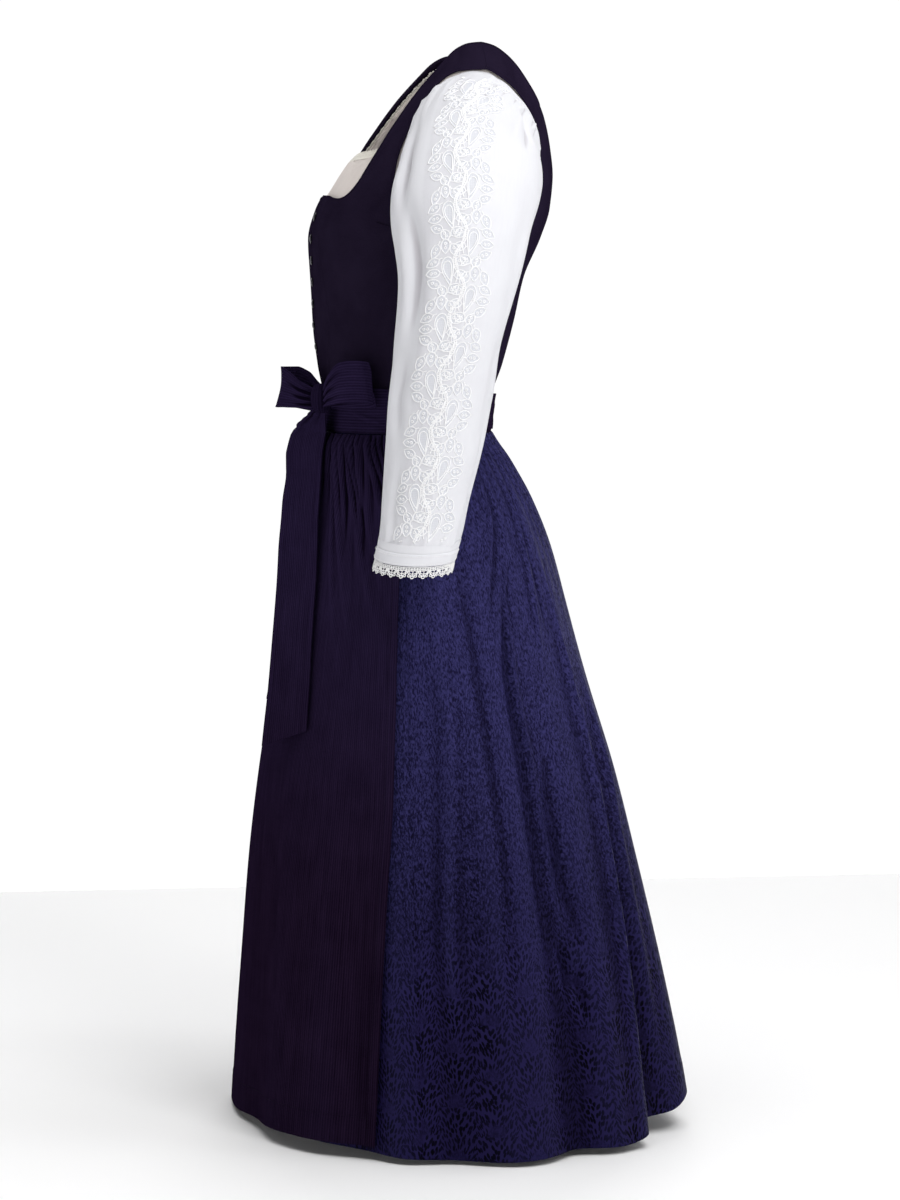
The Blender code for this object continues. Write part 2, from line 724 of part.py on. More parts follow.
def build_skirt():
    """A front panel and two back panels, gathered into the waist."""
    step = 360.0 / SKIRT_COLUMN_COUNT
    side = round(SKIRT_SIDE_SEAM / step)
    half = SKIRT_COLUMN_COUNT // 2
    spans = {
        "skirt_front": range(-side, side + 1),
        "skirt_back_left": range(side, half + 1),
        "skirt_back_right": range(half, SKIRT_COLUMN_COUNT - side + 1),
    }
    for name, span in spans.items():
        points, normals = [], []
        for share in SKIRT_ROWS:
            for i, column in enumerate(span):
                angle = column * step
                hem = HEM_CURVE.at(wrapped(angle))
                z = SKIRT_TOP + (hem - SKIRT_TOP) * share
                reach = SKIRT_SURFACE.rings["half_width"].at(z)
                gap = math.degrees(0.5 * SEAM_GAP / reach)
                if i == 0:
                    angle += gap
                elif i == len(span) - 1:
                    angle -= gap
                points.append(SKIRT_SURFACE.point(angle, z))
                normals.append(SKIRT_SURFACE.normal(angle, z))
        solid(name, points, normals, grid_faces(len(SKIRT_ROWS), len(span)), SKIRT_WALL, "skirt")


def build_apron():
    """Gathered panel under the waistband."""
    points, normals = [], []
    low = APRON_HEM_CURVE.values.mean()
    for share in SKIRT_ROWS:
        edge = APRON_EDGE_CURVE.at(APRON_TOP + (low - APRON_TOP) * share)
        for c in range(APRON_COLUMN_COUNT + 1):
            angle = edge * (2.0 * c / APRON_COLUMN_COUNT - 1.0)
            z = APRON_TOP + (APRON_HEM_CURVE.at(angle) - APRON_TOP) * share
            points.append(APRON_SURFACE.point(angle, z))
            normals.append(APRON_SURFACE.normal(angle, z))
    faces = grid_faces(len(SKIRT_ROWS), APRON_COLUMN_COUNT + 1)
    solid("apron_panel", points, normals, faces, APRON_WALL, "apron")


def waist_strip(name, start, end, tops, bottoms, lifts, wall):
    """Strip of cloth round the waist between two angles.

    `tops`, `bottoms` and `lifts` are curves over the angle. `lifts` gives the clearance between
    the strip's inside and the bodice. All strips turn at the same angles, so that they lie evenly
    on one another.
    """
    first, last = math.ceil(start / WAIST_STEP + 0.2), math.floor(end / WAIST_STEP - 0.2)
    angles = [start] + [k * WAIST_STEP for k in range(first, last + 1)] + [end]
    points, normals = [], []
    for r in range(3):
        for angle in angles:
            z = bottoms.at(angle) + (tops.at(angle) - bottoms.at(angle)) * r / 2.0
            normal = TORSO_SURFACE.normal(angle, z)
            points.append(TORSO_SURFACE.point(angle, z) + normal * (lifts.at(angle) + wall))
            normals.append(normal)
    return solid(name, points, normals, grid_faces(3, len(angles)), wall, "apron")


def flat(value):
    """Curve with one value everywhere."""
    return Curve((-720.0, 720.0), (value, value))


def build_waistband():
    """Apron's waistband, and its two ties, which cross at the back and come round to the knot.

    Where the ties cross they lie edge to edge, so each can be the outer one on one side.
    """
    waist_strip(
        "apron_waistband",
        -BAND_END,
        BAND_END,
        flat(BAND_TOP),
        flat(BAND_BOTTOM + 0.0003),
        flat(BAND_OVER_BODICE),
        BAND_WALL,
    )
    over_band = BAND_OVER_BODICE + BAND_WALL + TIE_OVER_TIE
    over_tie = TIE_OVER_BODICE + RIBBON_WALL + TIE_OVER_TIE
    for name, start, end, table in (
        ("apron_tie_left", BAND_END + 0.2, 360.0 + KNOT_ANGLE - 5.0, TIE_LEFT),
        ("apron_tie_right", KNOT_ANGLE + 5.0, 360.0 - BAND_END - 0.2, TIE_RIGHT),
    ):
        rows = [TieRow(*row) for row in table]
        angles = [row.angle for row in rows]
        places = {"bodice": TIE_OVER_BODICE, "tie": over_tie, "band": over_band}
        waist_strip(
            name,
            start,
            end,
            Curve(angles, [row.top for row in rows]),
            Curve(angles, [row.bottom for row in rows]),
            Curve(angles, [places[row.over] for row in rows]),
            RIBBON_WALL,
        )


class BowFrame:
    """Directions of the bow: along it, and out from the waist, at the knot's angle."""

    def __init__(self):
        self.base = TORSO_SURFACE.point(KNOT_ANGLE, KNOT_HEIGHT)
        turn = math.radians(BOW_TURN)
        self.out = Vector((math.sin(turn), -math.cos(turn), 0.0))
        self.along = Vector((math.cos(turn), math.sin(turn), 0.0))
        self.up = Vector((0.0, 0.0, 1.0))

    def place(self, along, out, height):
        """Point at distances along the bow and out from the waist, at a height."""
        level = self.base + self.along * along + self.out * out
        return Vector((level.x, level.y, height))


def ribbon(name, path, ways, widths, across=3):
    """Strip with its centre line along `path` and its width laid along `ways`."""
    points, normals = [], []
    for i, centre in enumerate(path):
        run = path[min(i + 1, len(path) - 1)] - path[max(i - 1, 0)]
        way = ways[i].normalized()
        normal = run.cross(way).normalized()
        for c in range(across):
            shift = widths[i] * (c / (across - 1) - 0.5)
            points.append(centre + way * shift + normal * RIBBON_WALL * 0.5)
            normals.append(normal)
    return solid(name, points, normals, grid_faces(len(path), across), RIBBON_WALL, "apron")


def finer(table, kind, count):
    """Rows of a table at even steps along it, through smooth curves."""
    keys = list(range(len(table)))
    tracks = [Curve(keys, column) for column in zip(*table)]
    return [kind(*(t.at((len(table) - 1) * k / count) for t in tracks)) for k in range(count + 1)]


def over_apron(angle, height, out):
    """Point at a level distance out from the apron."""
    return APRON_SURFACE.point(angle, height) + APRON_SURFACE.outward(angle, height) * out


def build_bow():
    """Knot, two loops and two tails of the bow."""
    frame = BowFrame()
    for name, table in (("apron_bow_loop_left", LOOP_LEFT), ("apron_bow_loop_right", LOOP_RIGHT)):
        rows = finer(table, LoopRow, LOOP_STEPS)
        path = [frame.place(row.along, row.out, row.height) for row in rows]
        ways = []
        for row in rows:
            tip = math.radians(row.lean)
            ways.append(frame.up * math.cos(tip) + frame.out * math.sin(tip))
        ribbon(name, path, ways, [row.width for row in rows])
    for name, table in (("apron_tail_left", TAIL_LEFT), ("apron_tail_right", TAIL_RIGHT)):
        rows = finer(table, TailRow, TAIL_STEPS)
        path, ways, widths = [], [], []
        for row in rows:
            slant = TAIL_SLANT if row is rows[-1] else 0.0
            front = over_apron(row.front_angle, row.height - slant, row.front_out)
            back = over_apron(row.back_angle, row.height + slant, row.back_out)
            path.append((front + back) * 0.5)
            ways.append(back - front)
            widths.append((back - front).length)
        ribbon(name, path, ways, widths)
    build_knot(frame)


def build_knot(frame):
    """Rounded knot with its back on the ties."""
    width, depth, height = KNOT_SIZE
    rings, around = 5, 10
    points = []
    for r in range(rings + 1):
        share = r / rings
        level = -math.cos(share * math.pi)
        size = math.sin(min(max(share, 0.12), 0.88) * math.pi) ** 0.55
        for c in range(around):
            turn = 2.0 * math.pi * c / around
            along = 0.5 * width * size * math.cos(turn)
            out = KNOT_OUT + 0.5 * depth * size * math.sin(turn)
            points.append(frame.place(along, out, KNOT_HEIGHT + 0.5 * height * level))
    faces = grid_faces(rings + 1, around, closed=True)
    faces.append(tuple(reversed(range(around))))
    faces.append(tuple(range(rings * around, (rings + 1) * around)))
    mesh_object("apron_bow_knot", points, faces, "apron")


def armhole_reach():
    """Distance from the armhole's centre to the bodice's edge, by turn; 0 is its top, 90 its front."""
    turns, reaches = [], []
    for angle, z in list(FRONT_ARMHOLE) + list(BACK_ARMHOLE[1:-1]):
        ahead = (ARMHOLE_CENTRE[0] - angle) * DEGREE_LENGTH
        up = z - ARMHOLE_CENTRE[1]
        turns.append(math.degrees(math.atan2(ahead, up)) % 360.0)
        reaches.append(math.hypot(ahead, up))
    wide_turns = [t + shift for shift in (-360.0, 0.0, 360.0) for t in turns]
    return Curve(wide_turns, reaches * 3)


ARMHOLE_REACH = armhole_reach()


def arm_edge(turn, share):
    """Angle and height of a ring inside the bodice's armhole, at a share of the way to its edge."""
    t = math.radians(turn)
    reach = ARMHOLE_REACH.at(turn % 360.0) * share
    angle = ARMHOLE_CENTRE[0] - reach * math.sin(t) / DEGREE_LENGTH
    return angle, ARMHOLE_CENTRE[1] + reach * math.cos(t)


def blouse_lift():
    """Place of the blouse's outside under the bodice's."""
    return -(BODICE_WALL + BLOUSE_UNDER_BODICE)


def neck_edge(centre):
    """Neck of the blouse from its middle at the front or the back to the shoulder."""
    part = [(a, z) for a, z in BLOUSE_NECK if abs(a - centre) <= 90.0]
    if centre:
        return spaced(part[::-1], BLOUSE_BACK_NECK_ROWS)
    return spaced(part, BLOUSE_FRONT_NECK_ROWS)


def build_blouse_body():
    """Front and back of the blouse, each cut round the neck and the armholes."""
    for name, centre in (("blouse_front", 0.0), ("blouse_back", 180.0)):
        low = arm_edge(180.0, BLOUSE_ARM_SHARE)
        rise = (low[1] - BLOUSE_HEM) / BLOUSE_BODY_ROWS
        side = [(low[0], BLOUSE_HEM + rise * i) for i in range(BLOUSE_BODY_ROWS)]
        turns = [180.0 - 180.0 * i / BLOUSE_ARM_ROWS for i in range(BLOUSE_ARM_ROWS + 1)]
        if centre:
            turns = [360.0 - turn for turn in turns]
        outer = side + [arm_edge(turn, BLOUSE_ARM_SHARE) for turn in turns]
        neck = neck_edge(centre)
        below = len(outer) - len(neck)
        rise = (neck[0][1] - BLOUSE_HEM) / below
        inner = [(centre, BLOUSE_HEM + rise * i) for i in range(below)] + neck
        points, normals, index = [], [], {}
        for side_sign in (1, -1):
            for r, ((a0, z0), (a1, z1)) in enumerate(zip(inner, outer)):
                for c in range(BLOUSE_COLUMNS + 1):
                    if c == 0 and r <= below and side_sign < 0:
                        index[side_sign, r, c] = index[1, r, c]
                        continue
                    t = c / BLOUSE_COLUMNS
                    a, z = a0 + (a1 - a0) * t, z0 + (z1 - z0) * t
                    normal = TORSO_SURFACE.normal(a, z)
                    point = TORSO_SURFACE.point(a, z) + normal * blouse_lift()
                    on_side_seam = c == BLOUSE_COLUMNS and r <= BLOUSE_BODY_ROWS
                    if on_side_seam or r == len(inner) - 1:
                        point.y += SEAM_GAP * (0.5 if centre else -0.5)
                    index[side_sign, r, c] = len(points)
                    points.append(Vector((side_sign * point.x, point.y, point.z)))
                    normals.append(Vector((side_sign * normal.x, normal.y, normal.z)))
        faces = []
        for side_sign in (1, -1):
            for r in range(len(inner) - 1):
                for c in range(BLOUSE_COLUMNS):
                    corners = [(r, c), (r, c + 1), (r + 1, c + 1), (r + 1, c)]
                    face = [index[side_sign, row, column] for row, column in corners]
                    flip = (side_sign > 0) == (centre > 0)
                    faces.append(tuple(reversed(face)) if flip else tuple(face))
        solid(name, points, normals, faces, BLOUSE_WALL, "blouse")


def sleeve_ring(row, turn, swell=0.0):
    """Point of a sleeve ring; a turn of 0 is its outer end and 90 its front."""
    ring = SleeveRing(*row)
    t = math.radians(turn)
    tip = math.radians(ring.lean)
    reach = 0.5 * ring.length * (1.0 + math.cos(t)) + 0.5 * swell * math.cos(t)
    middle = 0.5 * (ring.front_y + ring.back_y)
    half = 0.5 * (ring.back_y - ring.front_y + swell)
    return Vector((
        ring.inner_x + reach * math.sin(tip),
        middle - half * math.sin(t),
        ring.inner_z + reach * math.cos(tip),
    ))


def tube(name, rings, wall, colour, side):
    """Open tube through rings of points, with its wall on the inside."""
    rows, columns = len(rings), len(rings[0])
    points, normals = [], []
    for r in range(rows):
        before, after = rings[max(r - 1, 0)], rings[min(r + 1, rows - 1)]
        for c in range(columns):
            run = rings[r][(c + 1) % columns] - rings[r][c - 1]
            normal = run.cross(after[c] - before[c]).normalized()
            points.append(rings[r][c])
            normals.append(normal)
    centre = sum(points, Vector()) / len(points)
    spread = sum((p - centre).dot(n) for p, n in zip(points, normals))
    if spread < 0:
        normals = [-n for n in normals]
    if side < 0:
        points = [Vector((-p.x, p.y, p.z)) for p in points]
        normals = [Vector((-n.x, n.y, n.z)) for n in normals]
    return solid(name, points, normals, grid_faces(rows, columns, closed=True), wall, colour)


def build_sleeves():
    """Two sleeves, their hem bands and the lace below them."""
    turns = [360.0 * i / SLEEVE_COLUMN_COUNT for i in range(SLEEVE_COLUMN_COUNT)]
    rings = []
    for share, out in ((SLEEVE_BASE_SHARE, blouse_lift()), (SLEEVE_MOUTH_SHARE, SLEEVE_MOUTH_OUT)):
        ring = []
        for turn in turns:
            angle, z = arm_edge(turn, share)
            ring.append(TORSO_SURFACE.moved(angle, z, out))
        rings.append(ring)
    for k, row in enumerate(SLEEVE_RINGS):
        ring = []
        for i, turn in enumerate(turns):
            gathered = 0.0035 if k < 2 and i % 2 and math.cos(math.radians(turn)) > 0.1 else 0.0
            ring.append(sleeve_ring(row, turn, gathered))
        rings.append(ring)
    lace_turns = [360.0 * i / (2 * CUFF_SCALLOPS) for i in range(2 * CUFF_SCALLOPS)]
    lace = []
    for k, row in enumerate(CUFF_LACE_RINGS):
        ring = []
        for i, turn in enumerate(lace_turns):
            point = sleeve_ring(row, turn)
            if k == len(CUFF_LACE_RINGS) - 1 and i % 2:
                point.z += SCALLOP_DEPTH
            ring.append(point)
        lace.append(ring)
    cuff = [[sleeve_ring(row, turn, 0.0012) for turn in turns] for row in CUFF_RINGS]
    for side, word in ((1, "left"), (-1, "right")):
        tube(f"sleeve_{word}", rings, BLOUSE_WALL, "blouse", side)
        tube(f"cuff_band_{word}", cuff, BLOUSE_WALL * 1.6, "blouse", side)
        tube(f"cuff_lace_{word}", lace, LACE_WALL, "lace", side)


def build_neck_lace():
    """Waved frill that stands up from the neck of the blouse."""
    quarter = neck_edge(0.0)[:-1] + neck_edge(180.0)[::-1]
    edge = quarter[:-1] + [(360.0 - a, z) for a, z in quarter[::-1][:-1]]
    corners = [TORSO_SURFACE.moved(a, z, blouse_lift()) for a, z in edge]
    leans = [TORSO_SURFACE.normal(a, z) for a, z in edge]
    bases, outs = [], []
    for i, corner in enumerate(corners):
        ahead = (i + 1) % len(corners)
        bases += [corner, (corner + corners[ahead]) * 0.5]
        outs += [leans[i], (leans[i] + leans[ahead]).normalized()]
    points, normals = [], []
    for share in (0.0, 1.0):
        for c, base in enumerate(bases):
            run = bases[(c + 1) % len(bases)] - bases[c - 1]
            away = outs[c].cross(run).normalized()
            away = away if away.z > 0 else -away
            inward = share * (NECK_LACE_WIDTH * NECK_LACE_LEAN + NECK_LACE_WAVE * (c % 2))
            points.append(base + away * (SEAM_GAP + NECK_LACE_WIDTH * share) - outs[c] * inward)
            normals.append(outs[c])
    solid("neck_lace", points, normals, grid_faces(2, len(bases), closed=True), LACE_WALL, "lace")


def build_buttons():
    """Row of small domed buttons beside the centre front, each seated on the left front panel."""
    panel = bpy.data.objects["bodice_front_left"].data
    places = [v.co for v in panel.vertices]
    tree = BVHTree.FromPolygons(places, [tuple(p.vertices) for p in panel.polygons])
    profile = ((1.0, 0.0), (1.0, 0.45), (0.70, 0.85))
    around = 8
    for number in range(BUTTON_COUNT):
        height = BUTTON_TOP - BUTTON_PITCH * number
        above = TORSO_SURFACE.moved(BUTTON_ANGLE, height, 0.01)
        seat, out, _, _ = tree.ray_cast(above, -TORSO_SURFACE.normal(BUTTON_ANGLE, height))
        centre = seat + out * SEAM_GAP
        across = out.cross(Vector((0.0, 0.0, 1.0))).normalized()
        up = across.cross(out)
        points = []
        for radius, rise in profile:
            for c in range(around):
                turn = 2.0 * math.pi * c / around
                spoke = across * math.cos(turn) + up * math.sin(turn)
                points.append(centre + spoke * BUTTON_RADIUS * radius + out * BUTTON_THICKNESS * rise)
        points.append(centre + out * BUTTON_THICKNESS)
        faces = grid_faces(3, around, closed=True)
        faces.append(tuple(range(around)))
        top = 2 * around
        faces += [(top + c, top + (c + 1) % around, 3 * around) for c in range(around)]
        mesh_object(f"front_button_{number + 1}", points, faces, "button")


def clear_scene():
    """Remove whatever the scene starts with."""
    for thing in list(bpy.data.objects):
        bpy.data.objects.remove(thing, do_unlink=True)


clear_scene()
GARMENT = bpy.data.collections.new("dirndl_set")
bpy.context.scene.collection.children.link(GARMENT)
build_bodice()
build_skirt()
build_apron()
build_waistband()
build_bow()
build_blouse_body()
build_sleeves()
build_neck_lace()
build_buttons()
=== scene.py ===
"""Dirndl set as it is worn: a bodice with a gathered skirt, an apron tied in a bow, and a blouse.

Lengths are in metres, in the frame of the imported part. Round the body an angle of 0 is the front,
90 the wearer's left side and 180 the back. A cloth's UV map is in metres on the flat cloth.
"""

import logging
import math
from dataclasses import dataclass
from enum import Enum
from typing import Callable, Optional, Sequence

import bpy
import numpy as np
from bpy.types import ID, Material, Node, NodeSocket, NodeTree, Object
from mathutils import Matrix, Vector
from numpy import ndarray


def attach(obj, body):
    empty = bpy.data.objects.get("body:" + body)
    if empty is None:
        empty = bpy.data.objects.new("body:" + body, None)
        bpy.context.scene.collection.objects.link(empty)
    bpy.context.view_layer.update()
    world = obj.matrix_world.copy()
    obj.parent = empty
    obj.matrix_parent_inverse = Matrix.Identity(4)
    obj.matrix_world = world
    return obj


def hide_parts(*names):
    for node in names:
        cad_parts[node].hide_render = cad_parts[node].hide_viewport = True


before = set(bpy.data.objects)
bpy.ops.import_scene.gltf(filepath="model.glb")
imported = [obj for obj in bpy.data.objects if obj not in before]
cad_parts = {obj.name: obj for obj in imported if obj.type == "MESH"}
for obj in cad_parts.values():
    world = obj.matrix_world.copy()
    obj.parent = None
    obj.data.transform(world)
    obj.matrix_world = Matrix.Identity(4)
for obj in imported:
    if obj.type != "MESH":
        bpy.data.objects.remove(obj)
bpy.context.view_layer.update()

LOG = logging.getLogger("dirndl")
Table = tuple[tuple[float, ...], ...]
Edge = list[tuple[float, float]]
HEM_ANGLE = math.radians(55.0)
LEAST_FILL = 0.31  # least share of its width by length that a sheet is said to fill
BODY_AXIS = (0.0, -0.06, 0.0)


def smooth_between(
    t: ndarray, step: ndarray, i: ndarray, values: ndarray, slopes: ndarray
) -> ndarray:
    """Smooth values between the rows of a table.

    Args:
        t: shares of the way from a row to the next.
        step: distances between those rows.
        i: numbers of the rows before.
        values: values of all rows.
        slopes: slopes of all rows.

    Returns:
        The values.
    """
    return (
        (2 * t**3 - 3 * t**2 + 1) * values[i] + (t**3 - 2 * t**2 + t) * step * slopes[i]
        + (3 * t**2 - 2 * t**3) * values[i + 1] + (t**3 - t**2) * step * slopes[i + 1]
    )


class Curve:
    """Smooth curve through the rows of a table, which doesn't swing out between them."""

    def __init__(self, keys: Sequence[float], values: Sequence[float]) -> None:
        """Take the rows of the table, in any order.

        Args:
            keys: first numbers of the rows.
            values: second numbers of the rows.
        """
        order = np.argsort(keys)
        self.keys = np.array(keys, dtype=float)[order]
        self.values = np.array(values, dtype=float)[order]
        steps = np.diff(self.keys)
        rises = np.diff(self.values) / steps
        slopes = np.zeros(len(self.keys))
        for i in range(1, len(slopes) - 1):
            before, after = rises[i - 1], rises[i]
            if before * after > 0:
                slopes[i] = 2.0 * before * after / (before + after)
        slopes[0], slopes[-1] = rises[0], rises[-1]
        self.slopes = slopes

    def at(self, key: ndarray) -> ndarray:
        """Value of the curve at each key.

        Args:
            key: keys, which past the table's ends give its end values.

        Returns:
            The values, in the shape of `key`.
        """
        key = np.clip(key, self.keys[0], self.keys[-1])
        i = np.minimum(np.searchsorted(self.keys, key, side="right") - 1, len(self.keys) - 2)
        step = self.keys[i + 1] - self.keys[i]
        return smooth_between((key - self.keys[i]) / step, step, i, self.values, self.slopes)


def curves(table: Table) -> list[Curve]:
    """One curve for each column of a table after its first, keyed by that first column."""
    return [Curve([row[0] for row in table], column) for column in list(zip(*table))[1:]]


def limited(value: ndarray) -> ndarray:
    """Values kept between 0 and 1."""
    return np.clip(value, 0.0, 1.0)


def bell(value: ndarray, width: float) -> ndarray:
    """Soft bump of 1 at a value of 0."""
    return np.exp(-((value / width) ** 2))


def wrapped(angle: ndarray) -> ndarray:
    """Angles in degrees brought between -180 and 180."""
    return (angle + 180.0) % 360.0 - 180.0


def eased(value: ndarray, start: float, end: float) -> ndarray:
    """Soft step from 0 at `start` to 1 at `end`."""
    t = limited((value - start) / (end - start))
    return t * t * (3.0 - 2.0 * t)


def unit(vectors: ndarray) -> ndarray:
    """Vectors brought to a length of one."""
    return vectors / np.maximum(np.linalg.norm(vectors, axis=-1, keepdims=True), 1e-12)


def joined(*parts: ndarray) -> ndarray:
    """Numbers side by side along a new last axis, as the x, y and z of points."""
    return np.stack(np.broadcast_arrays(*parts), axis=-1)


class Side(Enum):
    """Side of the body, as the factor that puts a left side's x on it."""

    LEFT = 1.0
    RIGHT = -1.0

    @property
    def word(self) -> str:
        """The side's word in the names of nodes."""
        return self.name.lower()

    def placed(self, points: ndarray) -> ndarray:
        """Points or directions of the left side, put on this side."""
        return points * np.array([self.value, 1.0, 1.0])


def travelled(points: ndarray) -> ndarray:
    """Distance along some points from the first, or the mean one along rows of them.

    Args:
        points: points, or rows of points.

    Returns:
        One distance for each point or row, from 0.
    """
    steps = np.linalg.norm(np.diff(points, axis=0), axis=-1)
    steps = steps.mean(axis=1) if steps.ndim > 1 else steps
    return np.concatenate([[0.0], np.cumsum(steps)])


def linked(name: str, data: ID) -> Object:
    """A new object in the scene.

    Args:
        name: its name.
        data: its mesh, lamp or camera.

    Returns:
        The object.
    """
    made = bpy.data.objects.new(name, data)
    bpy.context.scene.collection.objects.link(made)
    return made


@dataclass(frozen=True)
class Crease:
    """Soft trough or ridge along a bent line on a cloth."""

    path: Table
    width: float
    depth: float

    def relief(self, across: ndarray, along: ndarray) -> ndarray:
        """Height of the crease over the cloth.

        Args:
            across: places across the cloth, in the units of `path`.
            along: places along the cloth.

        Returns:
            Heights in metres, below zero in a trough.
        """
        nearest = np.full(np.shape(across), 1e9)
        place = np.zeros(np.shape(across))
        run = 0.0
        for (a0, b0), (a1, b1) in zip(self.path, self.path[1:]):
            length = math.dist((a0, b0), (a1, b1))
            t = ((across - a0) * (a1 - a0) + (along - b0) * (b1 - b0)) / length**2
            t = limited(t)
            gap = np.hypot(across - a0 - (a1 - a0) * t, along - b0 - (b1 - b0) * t)
            nearer = gap < nearest
            nearest = np.where(nearer, gap, nearest)
            place = np.where(nearer, run + t * length, place)
            run += length
        share = place / run
        fade = np.minimum(eased(share, 0.0, 0.35), eased(1.0 - share, 0.0, 0.35))
        return self.depth * fade * bell(nearest, self.width)


def creased(creases: Sequence[Crease], across: ndarray, along: ndarray) -> ndarray:
    """Height of some creases together, at places across a cloth and along it."""
    across, along = np.broadcast_arrays(across, along)
    return sum((crease.relief(across, along) for crease in creases), np.zeros(across.shape))


def crease_rows(*rows: tuple[float, ...]) -> tuple[Crease, ...]:
    """Creases from rows of width, depth and then the two numbers of each place on the path."""
    return tuple(Crease(tuple(zip(row[2::2], row[3::2])), *row[:2]) for row in rows)


class RingSurface:
    """Surface through level rings round the body, each a rounded oval."""

    STEP_ANGLE = 0.25
    STEP_HEIGHT = 0.0005
    METRES_PER_DEGREE = 0.0025

    def __init__(self, table: Table, creases: Sequence[Crease] = ()) -> None:
        """Take rings of height, half width, side, front and back, and squareness."""
        self.half_width, self.side, self.front, self.back, self.power = curves(table)
        self.creases = creases

    def relief(self, angle: ndarray, height: ndarray) -> ndarray:
        """How far the surface stands out from its plain rings, in metres."""
        return creased(self.creases, wrapped(angle) * self.METRES_PER_DEGREE, height)

    def plain(self, angle: ndarray, height: ndarray) -> ndarray:
        """Points of the plain rings.

        Args:
            angle: angles round the body.
            height: heights.

        Returns:
            The points.
        """
        a = np.radians(angle)
        power = 2.0 / self.power.at(height)
        side = self.side.at(height)
        across = np.copysign(np.abs(np.sin(a)) ** power, np.sin(a))
        along = np.abs(np.cos(a)) ** power
        end = np.where(np.cos(a) > 0, self.front.at(height), self.back.at(height))
        x = self.half_width.at(height) * across
        return joined(x, side + (end - side) * along, height)

    def outward(self, angle: ndarray, height: ndarray) -> ndarray:
        """Level directions out of the plain rings.

        Args:
            angle: angles round the body.
            height: heights.

        Returns:
            The directions.
        """
        step = self.STEP_ANGLE
        run = self.plain(angle + step, height) - self.plain(angle - step, height)
        return unit(joined(run[..., 1], -run[..., 0], 0.0 * run[..., 0]))

    def point(self, angle: ndarray, height: ndarray) -> ndarray:
        """Points of the surface."""
        out = self.outward(angle, height)
        return self.plain(angle, height) + out * self.relief(angle, height)[..., None]

    def normal(self, angle: ndarray, height: ndarray) -> ndarray:
        """Directions out of the surface.

        Args:
            angle: angles round the body.
            height: heights.

        Returns:
            The directions.
        """
        da, dz = self.STEP_ANGLE, self.STEP_HEIGHT
        run = self.point(angle + da, height) - self.point(angle - da, height)
        rise = self.point(angle, height + dz) - self.point(angle, height - dz)
        return unit(np.cross(run, rise))

    def moved(self, angle: ndarray, height: ndarray, out: ndarray) -> ndarray:
        """Points of the surface moved out along its normals."""
        lift = np.asarray(out, dtype=float)[..., None]
        return self.point(angle, height) + self.normal(angle, height) * lift


class Torso(RingSurface):
    """Outside of the bodice."""

    BUST_HEIGHT = -0.215
    BUST_SPREAD = 0.060
    BUST_ANGLE = 32.0
    BUST_ANGLE_SPREAD = 19.0
    BUST_RISE = 0.007

    def relief(self, angle: ndarray, height: ndarray) -> ndarray:
        """Rise of the bust over the plain rings.

        Args:
            angle: angles round the body.
            height: heights.

        Returns:
            Heights in metres.
        """
        turn = (np.abs(wrapped(angle)) - self.BUST_ANGLE) / self.BUST_ANGLE_SPREAD
        rise = (height - self.BUST_HEIGHT) / self.BUST_SPREAD
        return self.BUST_RISE * np.exp(-turn * turn - rise * rise) + super().relief(angle, height)


def fold_relief(folds: Table, angle: ndarray, share: ndarray) -> ndarray:
    """Height of long folds.

    Args:
        folds: rows of angle at the hem, width, depth, start and turn.
        angle: angles round the body.
        share: shares of the cloth's length.

    Returns:
        Heights in metres.
    """
    total = np.zeros(np.broadcast(angle, share).shape)
    for centre, width, depth, start, turn in folds:
        off = wrapped(angle - centre + turn * (1.0 - share))
        total = total + depth * eased(share, start, 1.0) * bell(off, width)
    return total


